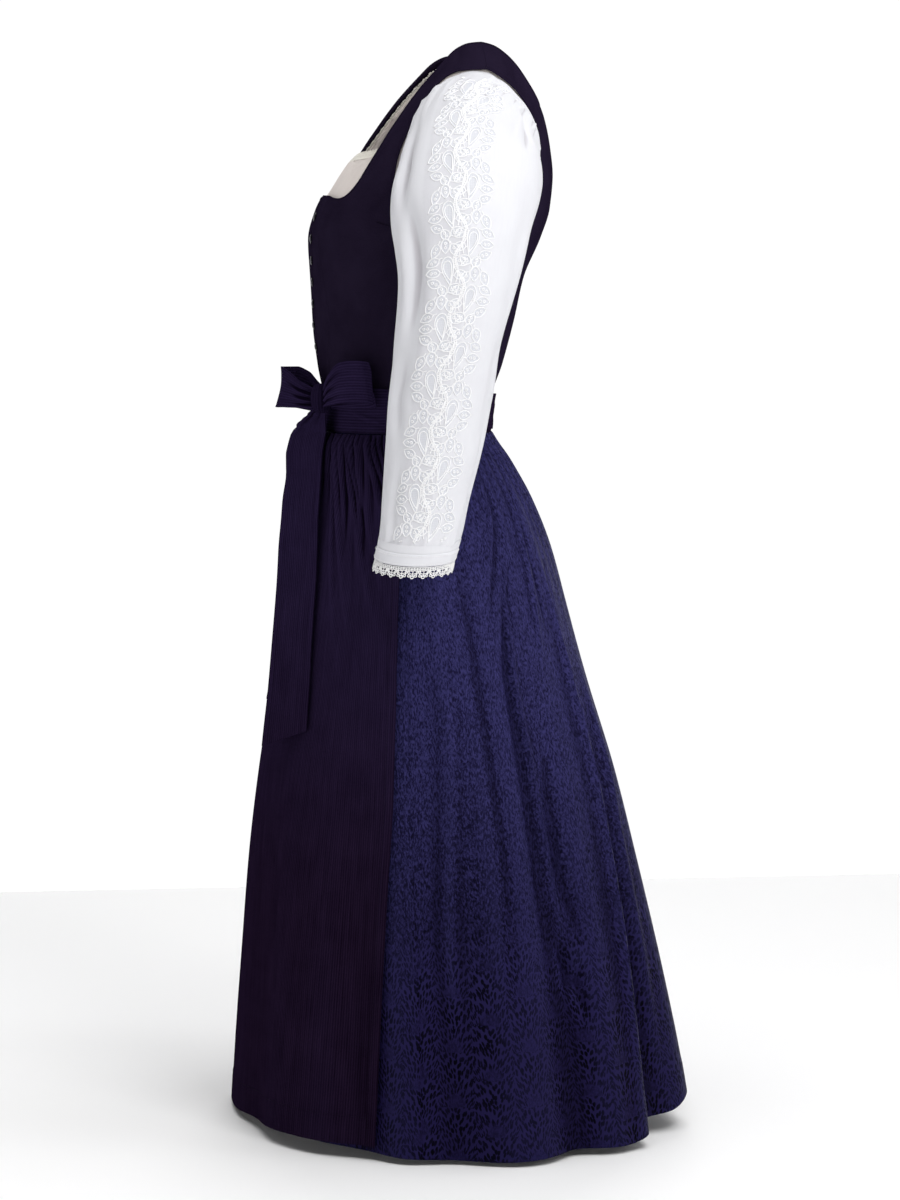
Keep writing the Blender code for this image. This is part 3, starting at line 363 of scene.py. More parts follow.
class Skirt(RingSurface):
    """Outside of the skirt, with its long folds and the gathers under the waist."""

    TOP = -0.4049
    HEM = -1.115
    FOLDS: Table = (
        (-8, 12, 0.005, 0.3, 0), (18, 10, -0.005, 0.35, 2), (36, 11, 0.006, 0.25, 3),
        (58, 8, -0.006, 0.35, 3), (70, 7, 0.006, 0.15, 1), (82, 9, -0.007, 0.1, 0),
        (97, 10, 0.012, 0.15, -4), (112, 6, -0.012, 0.12, -3), (123, 7, 0.011, 0.15, -8),
        (131, 4, 0.012, 0.08, -14), (140, 6, -0.015, 0.12, -10), (154, 8, 0.015, 0.1, -5),
        (169, 7, -0.013, 0.15, -2), (184, 9, 0.012, 0.12, 2), (200, 7, -0.013, 0.15, 4),
        (215, 9, 0.015, 0.1, 8), (230, 6, -0.014, 0.12, 9), (244, 9, 0.013, 0.15, 6),
        (260, 7, -0.012, 0.12, 4), (276, 10, 0.011, 0.18, 3), (297, 9, -0.007, 0.3, 3),
        (322, 12, 0.005, 0.3, 2),
    )
    METRES_PER_DEGREE = 0.0045
    GATHER_COUNT = 56
    GATHER_DEPTH = 0.0042
    GATHER_REACH = 0.24

    def gathers(self, angle: ndarray, share: ndarray) -> ndarray:
        """Height of the small uneven gathers under the waist.

        Args:
            angle: angles round the body.
            share: shares of the way down to the hem.

        Returns:
            Heights in metres.
        """
        turn = np.radians(angle)
        drift = 1.3 * np.sin(5 * turn + 0.6) + 0.9 * np.sin(11 * turn + 2.1)
        wave = 0.5 + 0.5 * np.cos(self.GATHER_COUNT * turn + drift)
        fine = 0.5 + 0.5 * np.cos(2.0 * self.GATHER_COUNT * turn + 2.0 * drift + 1.0)
        reach = self.GATHER_REACH * (1.0 + 0.55 * np.sin(7 * turn + 1.0) * np.sin(3 * turn))
        fade = limited(1.0 - share / reach) ** 1.4
        build = limited(share / 0.03)
        small = limited(1.0 - share / 0.07)
        return self.GATHER_DEPTH * (0.35 + 0.65 * build) * fade * wave + 0.0011 * small * fine

    def relief(self, angle: ndarray, height: ndarray) -> ndarray:
        """Folds and gathers over the plain rings.

        Args:
            angle: angles round the body.
            height: heights.

        Returns:
            Heights in metres.
        """
        share = limited((self.TOP - height) / (self.TOP - self.HEM))
        total = fold_relief(self.FOLDS, angle, share) + super().relief(angle, height)
        return total + self.gathers(angle, share)


class Apron(Skirt):
    """Outside of the apron, which lies over the skirt."""

    APRON_HEM = -1.120
    CLEARANCE = 0.0034
    APRON_FOLDS: Table = (
        (-44, 10, 0.004, 0.3, 0), (-20, 12, 0.0045, 0.35, 0), (6, 9, 0.003, 0.45, 0),
        (27, 10, 0.0045, 0.3, 0), (47, 9, 0.0045, 0.35, 0),
    )

    def relief(self, angle: ndarray, height: ndarray) -> ndarray:
        """The skirt's relief with the apron's own folds over it.

        Args:
            angle: angles round the body.
            height: heights.

        Returns:
            Heights in metres.
        """
        share = limited((self.TOP - height) / (self.TOP - self.APRON_HEM))
        over = self.CLEARANCE + 0.0015 * limited(share / 0.05)
        folds = fold_relief(self.APRON_FOLDS, angle, share)
        return super().relief(angle, height) + over + folds + self.ruching(angle, share)

    def ruching(self, angle: ndarray, share: ndarray) -> ndarray:
        """Height of the narrow ridges that fan out under the waistband.

        Args:
            angle: angles round the body.
            share: shares of the way down to the hem.

        Returns:
            Heights in metres.
        """
        turn = np.radians(angle) * (1.0 - 1.2 * share)
        drift = 2.4 * np.sin(9 * turn + 1.0) + 1.5 * np.sin(23 * turn + 0.4)
        side = eased(np.abs(angle), 27.0, 36.0)
        wave = limited(0.5 + 0.5 * np.cos(84.0 * turn + drift)) ** 1.3
        reach = 0.115 + 0.050 * np.sin(31 * turn + 2.0) + 0.030 * np.sin(13 * turn)
        fade = limited(1.0 - share / reach) ** 1.2
        long = limited(0.5 + 0.5 * np.cos(41.0 * turn + 0.7 * drift)) ** 2.0
        slow = eased(share, 0.0, 0.05) * eased(share, 0.42, 0.06)
        build = 0.30 + 0.70 * limited(share / 0.012)
        return (0.0040 + 0.0034 * side) * build * fade * wave + 0.0030 * slow * long


class UnderTails(Apron):
    """Outside of the apron as the tails lie on it, without its narrow ridges."""

    def ruching(self, angle: ndarray, share: ndarray) -> ndarray:
        """Even height of the ridges."""
        return 0.0026 * eased(share + 0.0 * angle, 0.20, 0.06)


@dataclass
class Grid:
    """Points of a cloth's outside, row by row, with their places on the flat cloth in metres."""

    points: ndarray
    flat: ndarray
    period: float = 0.0

    @property
    def closed(self) -> bool:
        """Whether the last column joins the first, as on a tube."""
        return self.period > 0.0

    def normals(self) -> ndarray:
        """Directions out of the cloth at each point.

        Returns:
            The directions, row by row.
        """
        if self.closed:
            run = np.roll(self.points, -1, axis=1) - np.roll(self.points, 1, axis=1)
        else:
            run = np.gradient(self.points, axis=1)
        return unit(np.cross(run, np.gradient(self.points, axis=0)))

    def raised(self, relief: ndarray) -> "Grid":
        """The cloth with each point moved out by its own height."""
        return Grid(self.points + self.normals() * relief[..., None], self.flat, self.period)

    def facing(self, centre: Sequence[float]) -> "Grid":
        """The cloth turned so that it faces away from a point or an upright axis.

        Args:
            centre: the point, or a place on the axis at a height of 0.

        Returns:
            The cloth, with its columns in the order that turns it outwards.
        """
        away = self.points - np.array(centre, dtype=float)
        if centre[2] == 0.0:
            away[..., 2] = 0.0
        if (away * self.normals()).sum() >= 0:
            return self
        return Grid(self.points[:, ::-1], self.flat[:, ::-1], self.period)

    def on(self, side: Side) -> "Grid":
        """A cloth of the left side, put on a side of the body."""
        turned = Grid(side.placed(self.points[:, ::-1]), self.flat[:, ::-1], self.period)
        return self if side is Side.LEFT else turned

    def hollows(self) -> ndarray:
        """How far each point lies under the cloth beside it, which the finishes turn into painted
        shade and highlights.

        Returns:
            From 1 in a deep fold to -1 on a sharp ridge.
        """
        count = self.points.shape[1]
        here = np.arange(count)
        step = float(np.linalg.norm(np.diff(self.points, axis=1), axis=-1).mean())
        total = np.zeros(self.points.shape[:2])
        for reach, depth in ((0.0045, 0.0013), (0.0180, 0.0070)):
            n = max(1, round(reach / step))
            if not self.closed:
                n = np.minimum(np.minimum(here, count - 1 - here), n)
            beside = self.points[:, (here - n) % count] + self.points[:, (here + n) % count]
            total += ((0.5 * beside - self.points) * self.normals()).sum(axis=-1) / depth
        return np.clip(total, -1.0, 1.0)

    def size(self) -> tuple[float, float, float]:
        """Widest row, longest column and area of the cloth, in metres.

        Returns:
            The width, the length and the area.
        """
        rows = self.points
        if self.closed:
            rows = np.concatenate([rows, rows[:, :1]], axis=1)
        across = np.linalg.norm(np.diff(rows, axis=1), axis=-1)
        along = np.linalg.norm(np.diff(rows, axis=0), axis=-1)
        cells = 0.25 * (across[1:] + across[:-1]) * (along[:, 1:] + along[:, :-1])
        return float(across.sum(1).max()), float(along.sum(0).max()), float(cells.sum())


def mesh_piece(name: str, points: ndarray, faces: Sequence[Sequence[int]]) -> Object:
    """A mesh as an object of the scene, shaded smooth.

    Args:
        name: the piece's name.
        points: its points.
        faces: its faces, as numbers of points.

    Returns:
        The object.
    """
    mesh = bpy.data.meshes.new(name)
    mesh.from_pydata(points.tolist(), [], faces)
    mesh.polygons.foreach_set("use_smooth", np.ones(len(mesh.polygons), dtype=bool))
    mesh.update()
    return linked(name, mesh)


def finished(piece: Object, flat: ndarray, material: Material) -> Object:
    """Give a cloth its UV map, its sharp hems and its finish.

    Args:
        piece: the cloth.
        flat: place of each face's corners on the flat cloth, in metres.
        material: finish of the cloth.

    Returns:
        The same piece.
    """
    layer = piece.data.uv_layers.new(name="cloth")
    layer.data.foreach_set("uv", flat.ravel().astype(np.float32))
    piece.data.set_sharp_from_angle(angle=HEM_ANGLE)
    piece.data.materials.append(material)
    return piece


def shell(name: str, grid: Grid, wall: float, material: Material) -> Object:
    """Thin closed cloth with its outside on a grid.

    Args:
        name: name of the piece.
        grid: outside of the cloth.
        wall: thickness, kept on the inside.
        material: finish of the cloth.

    Returns:
        The piece, with a UV map in metres.
    """
    rows, columns = grid.points.shape[:2]
    count = rows * columns
    outer = grid.points.reshape(-1, 3)
    inner = outer - grid.normals().reshape(-1, 3) * wall
    r, c = np.meshgrid(
        np.arange(rows - 1), np.arange(columns if grid.closed else columns - 1), indexing="ij"
    )
    r, c = r.ravel(), c.ravel()
    d = (c + 1) % columns
    near, far = r * columns, (r + 1) * columns
    skin = np.stack([near + c, near + d, far + d, far + c], axis=1)
    over = (d < c).astype(float) * grid.period
    shift = np.stack([0 * over, over, over, 0 * over], axis=1)
    edges = [(skin[r == 0][:, [1, 0]], shift[r == 0][:, [1, 0]])]
    edges.append((skin[r == rows - 2][:, [3, 2]], shift[r == rows - 2][:, [3, 2]]))
    if not grid.closed:
        edges.append((skin[c == 0][:, [0, 3]], shift[c == 0][:, [0, 3]]))
        edges.append((skin[c == columns - 2][:, [2, 1]], shift[c == columns - 2][:, [2, 1]]))
    sides = [np.concatenate([e, e[:, ::-1] + count], axis=1) for e, _ in edges]
    side_shift = [np.concatenate([s, s[:, ::-1]], axis=1) for _, s in edges]
    faces = np.concatenate([skin, skin[:, ::-1] + count, *sides])
    shifts = np.concatenate([shift, shift[:, ::-1], *side_shift])
    piece = mesh_piece(name, np.concatenate([outer, inner]), faces.tolist())
    flat = np.tile(grid.flat.reshape(-1, 2), (2, 1))[faces.ravel()]
    flat[:, 0] += shifts.ravel()
    # Fold depth of each point, from which the finishes paint shade in hollows and a highlight on
    # ridges.
    hollow = piece.data.attributes.new("hollow", "FLOAT", "POINT")
    hollow.data.foreach_set("value", np.tile(grid.hollows().ravel(), 2).astype(np.float32))
    return finished(piece, flat, material)


class Held(Enum):
    """How a sheet of cloth is held."""

    GATHERED = "gathered"
    STRETCHED = "stretched"
    HUNG = "hung"
    FOLDED = "folded"
    LAID = "laid"


@dataclass(frozen=True)
class Dressing:
    """A piece's slot, the nodes that it replaces and what holds it."""

    slot: str
    nodes: tuple[str, ...] = ()
    held: Optional[Held] = None
    rests_on: tuple[str, ...] = ()

    def give(self, piece: Object, grid: Optional[Grid] = None) -> Object:
        """Attach a piece to the root, hide the nodes that it replaces and log its size.

        Args:
            piece: the finished piece.
            grid: its cloth, where it is a sheet.

        Returns:
            The same piece.
        """
        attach(piece, "root")
        if self.nodes:
            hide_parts(*self.nodes)
        if grid is not None and self.held is not None:
            width, length, area = grid.size()
            area = min(max(area, LEAST_FILL * width * length), width * length)
            LOG.info("%s: sheet %.3f x %.3f m, %.4f m2", piece.name, width, length, area)
        LOG.info("%s: %d faces", piece.name, len(piece.data.polygons))
        return piece


def sheet_piece(
    node: str, grid: Grid, wall: float, cloth: Material, slot: str, held: Held, *rests_on: str
) -> Object:
    """Sheet of cloth in the place of one of the part's nodes, built, attached and logged.

    Args:
        node: name of the node.
        grid: outside of the cloth.
        wall: its thickness.
        cloth: its finish.
        slot: its slot; not used.
        held: how it is held.
        rests_on: nodes that it rests on; not used.

    Returns:
        The piece.
    """
    piece = shell(node + "_cloth", grid, wall, cloth)
    return Dressing(slot, (node,), held, rests_on).give(piece, grid)


class Nodes:
    """A node tree that is filled in code."""

    def __init__(self, tree: NodeTree) -> None:
        """Take an empty tree."""
        self.tree = tree

    def node(self, kind: str, links: dict[object, object], **settings: object) -> Node:
        """Add a node.

        Args:
            kind: the node's type.
            links: fields and sockets to link, or values to set, by the input's name or number.
            settings: properties of the node.

        Returns:
            The node.
        """
        made = self.tree.nodes.new(kind)
        for key, value in settings.items():
            setattr(made, key, value)
        for key, value in links.items():
            value = value.socket if isinstance(value, Field) else value
            if isinstance(value, NodeSocket):
                self.tree.links.new(value, made.inputs[key])
            else:
                made.inputs[key].default_value = value
        return made


class GeometryTree(Nodes):
    """A geometry node group that is built in code, with named inputs."""

    def __init__(self, name: str) -> None:
        """Start the group with a mesh in and a mesh out.

        Args:
            name: the group's name.
        """
        super().__init__(bpy.data.node_groups.new(name, "GeometryNodeTree"))
        face = self.tree.interface
        face.new_socket("Geometry", in_out="INPUT", socket_type="NodeSocketGeometry")
        face.new_socket("Geometry", in_out="OUTPUT", socket_type="NodeSocketGeometry")
        self.start = self.tree.nodes.new("NodeGroupInput")
        self.end = self.tree.nodes.new("NodeGroupOutput")
        self.keys: dict[str, str] = {}

    def entry(self, name: str, kind: str = "NodeSocketFloat") -> NodeSocket:
        """Add a named size, object or material to the group's inputs.

        Args:
            name: its name.
            kind: type of its socket.

        Returns:
            The socket inside the group.
        """
        socket = self.tree.interface.new_socket(name, in_out="INPUT", socket_type=kind)
        self.keys[name] = socket.identifier
        return self.start.outputs[name]

    def finish(self, geometry: NodeSocket, material: NodeSocket) -> None:
        """End the group with plain, smooth geometry in its own material.

        Args:
            geometry: socket with the geometry.
            material: socket with its material.
        """
        real = self.node("GeometryNodeRealizeInstances", {"Geometry": geometry})
        smooth = self.node("GeometryNodeSetShadeSmooth", {"Geometry": real.outputs[0]})
        dyed = self.node(
            "GeometryNodeSetMaterial", {"Geometry": smooth.outputs[0], "Material": material}
        )
        self.tree.links.new(dyed.outputs[0], self.end.inputs[0])

    def turned(self, links: dict[object, object], **settings: str) -> NodeSocket:
        """Rotation that turns one axis of a form towards a direction."""
        return self.node("FunctionNodeAlignRotationToVector", links, **settings).outputs[0]

    def finish_copies(self, material: NodeSocket, links: dict[object, object]) -> None:
        """End the group with copies of a form on points, all in one material."""
        placed = self.node("GeometryNodeInstanceOnPoints", links)
        self.finish(placed.outputs[0], material)

    def run(self, guide: Object, name: str, **inputs: object) -> Object:
        """Turn a guide object into a finished plain mesh.

        Args:
            guide: object whose mesh the group reads; it is removed.
            name: name of the new piece.
            inputs: values of the named inputs.

        Returns:
            The piece.
        """
        modifier = guide.modifiers.new(self.tree.name, "NODES")
        modifier.node_group = self.tree
        for key, value in inputs.items():
            modifier[self.keys[key]] = value
        graph = bpy.context.evaluated_depsgraph_get()
        mesh = bpy.data.meshes.new_from_object(guide.evaluated_get(graph))
        bpy.data.objects.remove(guide, do_unlink=True)
        mesh.name = name
        return linked(name, mesh)


class ThreadTree(GeometryTree):
    """Lays a round thread, cord or piping along every line of a guide mesh."""

    def __init__(self, sides: int = 4) -> None:
        """Build the group.

        Args:
            sides: number of sides of the thread.
        """
        super().__init__("thread along lines")
        radius, material = self.entry("radius"), self.entry("material", "NodeSocketMaterial")
        line = self.node("GeometryNodeMeshToCurve", {"Mesh": self.start.outputs[0]})
        size = {"Resolution": sides, "Radius": radius}
        ring = self.node("GeometryNodeCurvePrimitiveCircle", size)
        tube = self.node(
            "GeometryNodeCurveToMesh",
            {"Curve": line.outputs[0], "Profile Curve": ring.outputs[0], "Fill Caps": True},
        )
        self.finish(tube.outputs[0], material)

    def lay(self, name: str, lines: "Lines", radius: float, material: Material) -> Object:
        """Thread along lines, as a finished piece."""
        return self.run(lines.guide(name), name, radius=radius, material=material)


class StitchTree(GeometryTree):
    """Sets short stitches along every line of a guide mesh."""

    def __init__(self) -> None:
        """Build the group."""
        super().__init__("stitches along lines")
        pitch, length, radius = (self.entry(name) for name in ("pitch", "length", "radius"))
        material = self.entry("material", "NodeSocketMaterial")
        line = self.node("GeometryNodeMeshToCurve", {"Mesh": self.start.outputs[0]})
        links = {0: line.outputs[0], "Length": pitch}
        points = self.node("GeometryNodeCurveToPoints", links, mode="LENGTH")
        ball = self.node("GeometryNodeMeshUVSphere", {"Segments": 6, "Rings": 4, "Radius": 0.5})
        thick = self.node("ShaderNodeMath", {0: radius, 1: 2.0}, operation="MULTIPLY").outputs[0]
        size = self.node("ShaderNodeCombineXYZ", {0: length, 1: thick, 2: thick})
        turn = self.turned({"Vector": points.outputs["Tangent"]}, axis="X")
        links = {"Points": points.outputs["Points"], "Instance": ball.outputs[0]}
        self.finish_copies(material, {**links, "Rotation": turn, "Scale": size.outputs[0]})


class PlaceTree(GeometryTree):
    """Sets copies of one small form on the points of a guide mesh, turned by its attributes."""

    def __init__(self) -> None:
        """Build the group."""
        super().__init__("forms on points")
        form = self.entry("form", "NodeSocketObject")
        material = self.entry("material", "NodeSocketMaterial")
        info = self.node("GeometryNodeObjectInfo", {"Object": form})
        out, run = (
            self.node("GeometryNodeInputNamedAttribute", {"Name": name}, data_type="FLOAT_VECTOR")
            for name in ("out", "run")
        )
        first = self.turned({"Vector": out.outputs["Attribute"]}, axis="Z")
        links = {"Rotation": first, "Vector": run.outputs["Attribute"]}
        second = self.turned(links, axis="X", pivot_axis="Z")
        links = {"Points": self.start.outputs[0], "Instance": info.outputs["Geometry"]}
        self.finish_copies(material, {**links, "Rotation": second})


class Lines:
    """Guide lines in space, open or closed, that a node group follows."""

    def __init__(self) -> None:
        """Start with no lines."""
        self.points: list[ndarray] = []
        self.edges: list[tuple[int, int]] = []
        self.count = 0

    def add(self, points: ndarray, closed: bool = False) -> None:
        """Add one line through some points.

        Args:
            points: the points.
            closed: whether the last one joins the first.
        """
        n = len(points)
        self.points.append(np.asarray(points, dtype=float))
        self.edges += [(self.count + i, self.count + i + 1) for i in range(n - 1)]
        if closed:
            self.edges.append((self.count + n - 1, self.count))
        self.count += n

    def guide(self, name: str) -> Object:
        """The lines as a mesh without faces.

        Args:
            name: name of the piece that will follow the lines.

        Returns:
            The guide object.
        """
        mesh = bpy.data.meshes.new(name + "_guide")
        mesh.from_pydata(np.concatenate(self.points).tolist(), self.edges, [])
        return linked(name + "_guide", mesh)


class Field:
    """A number that varies over a cloth: a node socket with arithmetic."""

    def __init__(self, nodes: Nodes, socket: NodeSocket) -> None:
        """Wrap a socket of a node tree."""
        self.nodes, self.socket = nodes, socket

    def then(self, kind: str, *others: object) -> "Field":
        """Result of a math node of a kind on this number and up to two others."""
        node = self.nodes.node("ShaderNodeMath", dict(enumerate((self, *others))), operation=kind)
        return Field(self.nodes, node.outputs[0])

    def __add__(self, other: object) -> "Field":
        """Sum."""
        return self.then("ADD", other)

    def __sub__(self, other: object) -> "Field":
        """Difference."""
        return self.then("SUBTRACT", other)

    def __mul__(self, other: object) -> "Field":
        """Product."""
        return self.then("MULTIPLY", other)

    def __truediv__(self, other: float) -> "Field":
        """Quotient."""
        return self.then("DIVIDE", other)

    def size(self) -> "Field":
        """The number without its sign."""
        return self.then("ABSOLUTE")

    def limited(self) -> "Field":
        """The number kept between 0 and 1."""
        return self.then("MAXIMUM", 0.0).then("MINIMUM", 1.0)

    def step(self, start: float, end: float) -> "Field":
        """Soft step between two values.

        Args:
            start: value at which the step is 0.
            end: value at which it is 1, which may be the lower of the two.

        Returns:
            The step, from 0 to 1.
        """
        first, last = (0.0, 1.0) if start < end else (1.0, 0.0)
        links = {"Value": self, "From Min": min(start, end), "From Max": max(start, end)}
        links.update({"To Min": first, "To Max": last})
        node = self.nodes.node("ShaderNodeMapRange", links, interpolation_type="SMOOTHSTEP")
        return Field(self.nodes, node.outputs["Result"])

    def wave(self, pitch: float) -> "Field":
        """Even wave from 0 to 1 with a pitch in metres."""
        return (self * (2.0 * math.pi / pitch)).then("SINE") * 0.5 + 0.5


Colour = tuple[float, float, float]


class Paint(Nodes):
    """Builds the nodes of one material."""

    def __init__(self, name: str, roughness: float) -> None:
        """Start a material with its shader.

        Args:
            name: the material's name.
            roughness: its even roughness.
        """
        self.material = bpy.data.materials.new(name)
        self.material.use_nodes = True
        super().__init__(self.material.node_tree)
        self.shader = self.tree.nodes["Principled BSDF"]
        self.shader.inputs["Roughness"].default_value = roughness

    def flat(self) -> tuple[NodeSocket, Field, Field]:
        """Place on the flat cloth, whole and as its two numbers.

        Returns:
            The socket of the place, its distance across and its distance down.
        """
        place = self.node("ShaderNodeUVMap", {}, uv_map="cloth").outputs["UV"]
        parts = self.node("ShaderNodeSeparateXYZ", {0: place})
        return place, Field(self, parts.outputs[0]), Field(self, parts.outputs[1])

    def solid(self) -> NodeSocket:
        """Place in the object's own space."""
        return self.node("ShaderNodeTexCoord", {}).outputs["Object"]

    def noise(
        self, place: NodeSocket, scale: float, detail: float = 2.0,
        stretch: Colour = (1, 1, 1), distortion: float = 0.0,
    ) -> Field:
        """Soft noise around 0.5.

        Args:
            place: socket of the place.
            scale: number of grains a metre.
            detail: amount of finer noise.
            stretch: factors of the place, above 1 for finer grains along an axis.
            distortion: how far the grains curl.

        Returns:
            The noise.
        """
        mapped = self.node("ShaderNodeMapping", {"Vector": place, "Scale": stretch}).outputs[0]
        links = {"Vector": mapped, "Scale": scale, "Detail": detail, "Distortion": distortion}
        return Field(self, self.node("ShaderNodeTexNoise", links).outputs[0])

    def blend(self, share: Field, first: object, second: object) -> NodeSocket:
        """Colour between two others.

        Args:
            share: share of the second colour.
            first: a colour or its socket.
            second: another.

        Returns:
            Socket of the colour.
        """
        links = {0: share}
        for key, colour in ((6, first), (7, second)):
            links[key] = colour if isinstance(colour, NodeSocket) else (*colour, 1.0)
        return self.node("ShaderNodeMix", links, data_type="RGBA").outputs[2]

    def colour(self, socket: NodeSocket) -> None:
        """Give the shader its colour."""
        self.tree.links.new(socket, self.shader.inputs["Base Color"])

    def folded(
        self, socket: NodeSocket, deep: Colour, ridge: Colour, most: float, lift: float = 0.0
    ) -> None:
        """Give the shader a colour with painted shade in the hollows of folds and a painted
        highlight on their ridges.

        Args:
            socket: socket of the colour on flat cloth.
            deep: colour of the painted shade in the hollows.
            ridge: colour of the painted highlight on the ridges.
            most: share of the painted shade in the deepest fold.
            lift: share of the painted highlight on the sharpest ridge.
        """
        node = self.node("ShaderNodeAttribute", {}, attribute_name="hollow")
        hollow = Field(self, node.outputs["Fac"])
        # Painted shade in the hollows of folds, then a painted highlight on their ridges.
        socket = self.blend(hollow.step(0.03, 1.0) * most, socket, deep)
        self.colour(self.blend(hollow.step(-0.05, -1.0) * lift, socket, ridge))

    def rough(self, share: Field) -> None:
        """Give the shader its roughness."""
        self.tree.links.new(share.socket, self.shader.inputs["Roughness"])

    def bump(self, height: Field, depth: float) -> None:
        """Give the shader low relief, `depth` metres deep."""
        made = self.node("ShaderNodeBump", {"Height": height, "Distance": depth, "Strength": 1.0})
        self.tree.links.new(made.outputs[0], self.shader.inputs["Normal"])

    def gloss(self, specular: float, sheen: float, tint: Colour, soft: float = 0.5) -> None:
        """Set the shader's even gloss and its sheen.

        Args:
            specular: gloss.
            sheen: amount of sheen.
            tint: the sheen's colour.
            soft: the sheen's roughness.
        """
        values = {"Specular IOR Level": specular, "Sheen Weight": sheen, "Sheen Roughness": soft}
        for name, value in (*values.items(), ("Sheen Tint", (*tint, 1.0))):
            self.shader.inputs[name].default_value = value


@dataclass(frozen=True)
class WoolFinish:
    """Fine dark twill of the bodice."""

    dark: Colour = (0.0046, 0.0026, 0.0084)
    light: Colour = (0.0270, 0.0190, 0.0430)
    twill: float = 0.0012
    roughness: float = 0.72

    def material(self) -> Material:
        """Build the material.

        Returns:
            The material.
        """
        paint = Paint("bodice_cloth", self.roughness)
        place, u, v = paint.flat()
        lines = (u + v).wave(self.twill)
        threads = (u - v).wave(self.twill * 0.62)
        cloudy = paint.noise(place, 26.0, 3.0)
        hairs = paint.noise(place, 900.0, 2.0)
        share = lines * 0.30 + hairs * 0.70 + cloudy * 0.45 + threads * 0.10 - 0.36
        paint.colour(paint.blend(share, self.dark, self.light))
        paint.rough(cloudy * 0.12 + (self.roughness - 0.06))
        paint.bump(lines * 0.6 + threads * 0.25 + hairs * 0.5, 0.00012)
        paint.gloss(0.0, 0.004, (0.30, 0.20, 0.62))
        return paint.material


@dataclass(frozen=True)
class JacquardFinish:
    """Navy satin of the skirt, with fans of small leaves woven tone on tone above the hem, and
    painted shade.
    """

    length: float = 0.712
    across: float = 0.0400
    down: float = 0.0540
    base: float = 0.045
    leaf: tuple[float, float] = (0.00185, 0.0062)
    ground: Colour = (0.0360, 0.0335, 0.1250)
    # Darker copies of the ground and of the leaves' tone: painted shade towards the hem.
    low_ground: Colour = (0.0122, 0.0090, 0.0470)
    deep: Colour = (0.0070, 0.0058, 0.0270)
    low_deep: Colour = (0.0010, 0.0006, 0.0030)
    # Painted shade in the hollows of folds, and a painted highlight on their ridges.
    hollow: Colour = (0.0022, 0.0012, 0.0080)
    ridge: Colour = (0.0400, 0.0380, 0.1350)
    roughness: float = 0.46

    def fans(self, place: NodeSocket, paint: Paint, u: Field, v: Field) -> tuple[Field, Field]:
        """Fans of leaves in a half-drop repeat, each spreading up from its base.

        Args:
            place: place on the flat cloth.
            paint: material that the nodes are built in.
            u: place across the cloth, in metres.
            v: place down the cloth.

        Returns:
            Where the leaves lie and where their bright outlines lie, each from 0 to 1.
        """
        u = u + (paint.noise(place, 60.0, 1.0) - 0.5) * 0.0044
        v = v + (paint.noise(place, 50.0, 1.0, (1.3, 1.0, 1.0)) - 0.5) * 0.0044
        column = (u / self.across).then("FLOOR")
        odd = column.then("MODULO", 2.0).size()
        x = (u / self.across - column - 0.5) * self.across
        y = ((v / self.down + odd * 0.5).then("FRACT") * -1.0 + 1.0) * self.down
        deep = y + self.base
        aside = x * self.base / deep / self.leaf[0]
        along = (x * x + deep * deep).then("SQRT") / self.leaf[1]
        spread = along - aside.size() * 0.45
        spot = paint.node("ShaderNodeCombineXYZ", {0: aside + column * 7.3, 1: spread}).outputs[0]
        links = {"Vector": spot, "Scale": 1.0, "Randomness": 0.80}
        cells = paint.node("ShaderNodeTexVoronoi", links, voronoi_dimensions="2D")
        far = Field(paint, cells.outputs["Distance"])
        bare = ((x * x) / 0.0078**2 + ((y - 0.004) * (y - 0.004)) / 0.0075**2).then("SQRT")
        crown = ((x * x) + (y - 0.036) * (y - 0.036)).then("SQRT").step(0.0150, 0.0080)
        kept = bare.step(0.85, 1.30)
        leaf = far.step(0.45, 0.31) * kept
        outline = far.step(0.38, 0.50) * kept
        return leaf * (crown * 0.22 + 0.62), outline

    def material(self) -> Material:
        """Build the material.

        Returns:
            The material.
        """
        paint = Paint("skirt_cloth", self.roughness)
        place, u, v = paint.flat()
        grain = paint.noise(place, 430.0, 2.0, (1.0, 0.6, 1.0))
        curl = paint.noise(place, 270.0, 1.0, (1.0, 0.60, 1.0), 1.5)
        # Painted shade: long soft streaks, lighter and darker, stand in for the shading of folds.
        painted_fold_streaks = paint.noise(place, 16.0, 1.0, (1.0, 0.10, 1.0))
        leaves, outlines = self.fans(place, paint, u, v)
        low = v.step(self.length - 0.235, self.length - 0.125)
        shown = v.step(0.06, 0.40) * 0.34 + low * 0.66
        calm = (leaves + outlines).then("MINIMUM", 1.0) * low
        stipple = grain.step(0.43, 0.57)
        weave = curl.step(0.46, 0.56) * 0.50 + stipple * 0.50
        weave = weave * (calm * -0.80 + 1.0) * (low * -0.45 + 1.0)
        shade = weave + leaves * shown * 1.15 + (painted_fold_streaks - 0.48) * 0.5 - outlines * shown * 0.35
        shade = shade.limited()
        # Painted shade: the ground and the leaves' dark tone blend to darker copies towards the
        # hem, for light that falls off below.
        shade_towards_hem = v.step(0.22, 0.64)
        ground = paint.blend(shade_towards_hem, self.ground, self.low_ground)
        deep = paint.blend(shade_towards_hem, self.deep, self.low_deep)
        # Painted shade in fold hollows and a painted highlight on ridges.
        paint.folded(paint.blend(shade, ground, deep), self.hollow, self.ridge, 0.42, 0.10)
        paint.rough(shade * 0.20 + (self.roughness - 0.06))
        threads = u.wave(0.0011) * 0.2 + v.wave(0.0009) * 0.2
        paint.bump(shade * -1.0 + grain * 0.3 + threads, 0.00020)
        paint.gloss(0.03, 0.0, (0.25, 0.28, 1.0), 0.42)
        paint.shader.inputs["Specular Tint"].default_value = (0.62, 0.66, 1.0, 1.0)
        return paint.material


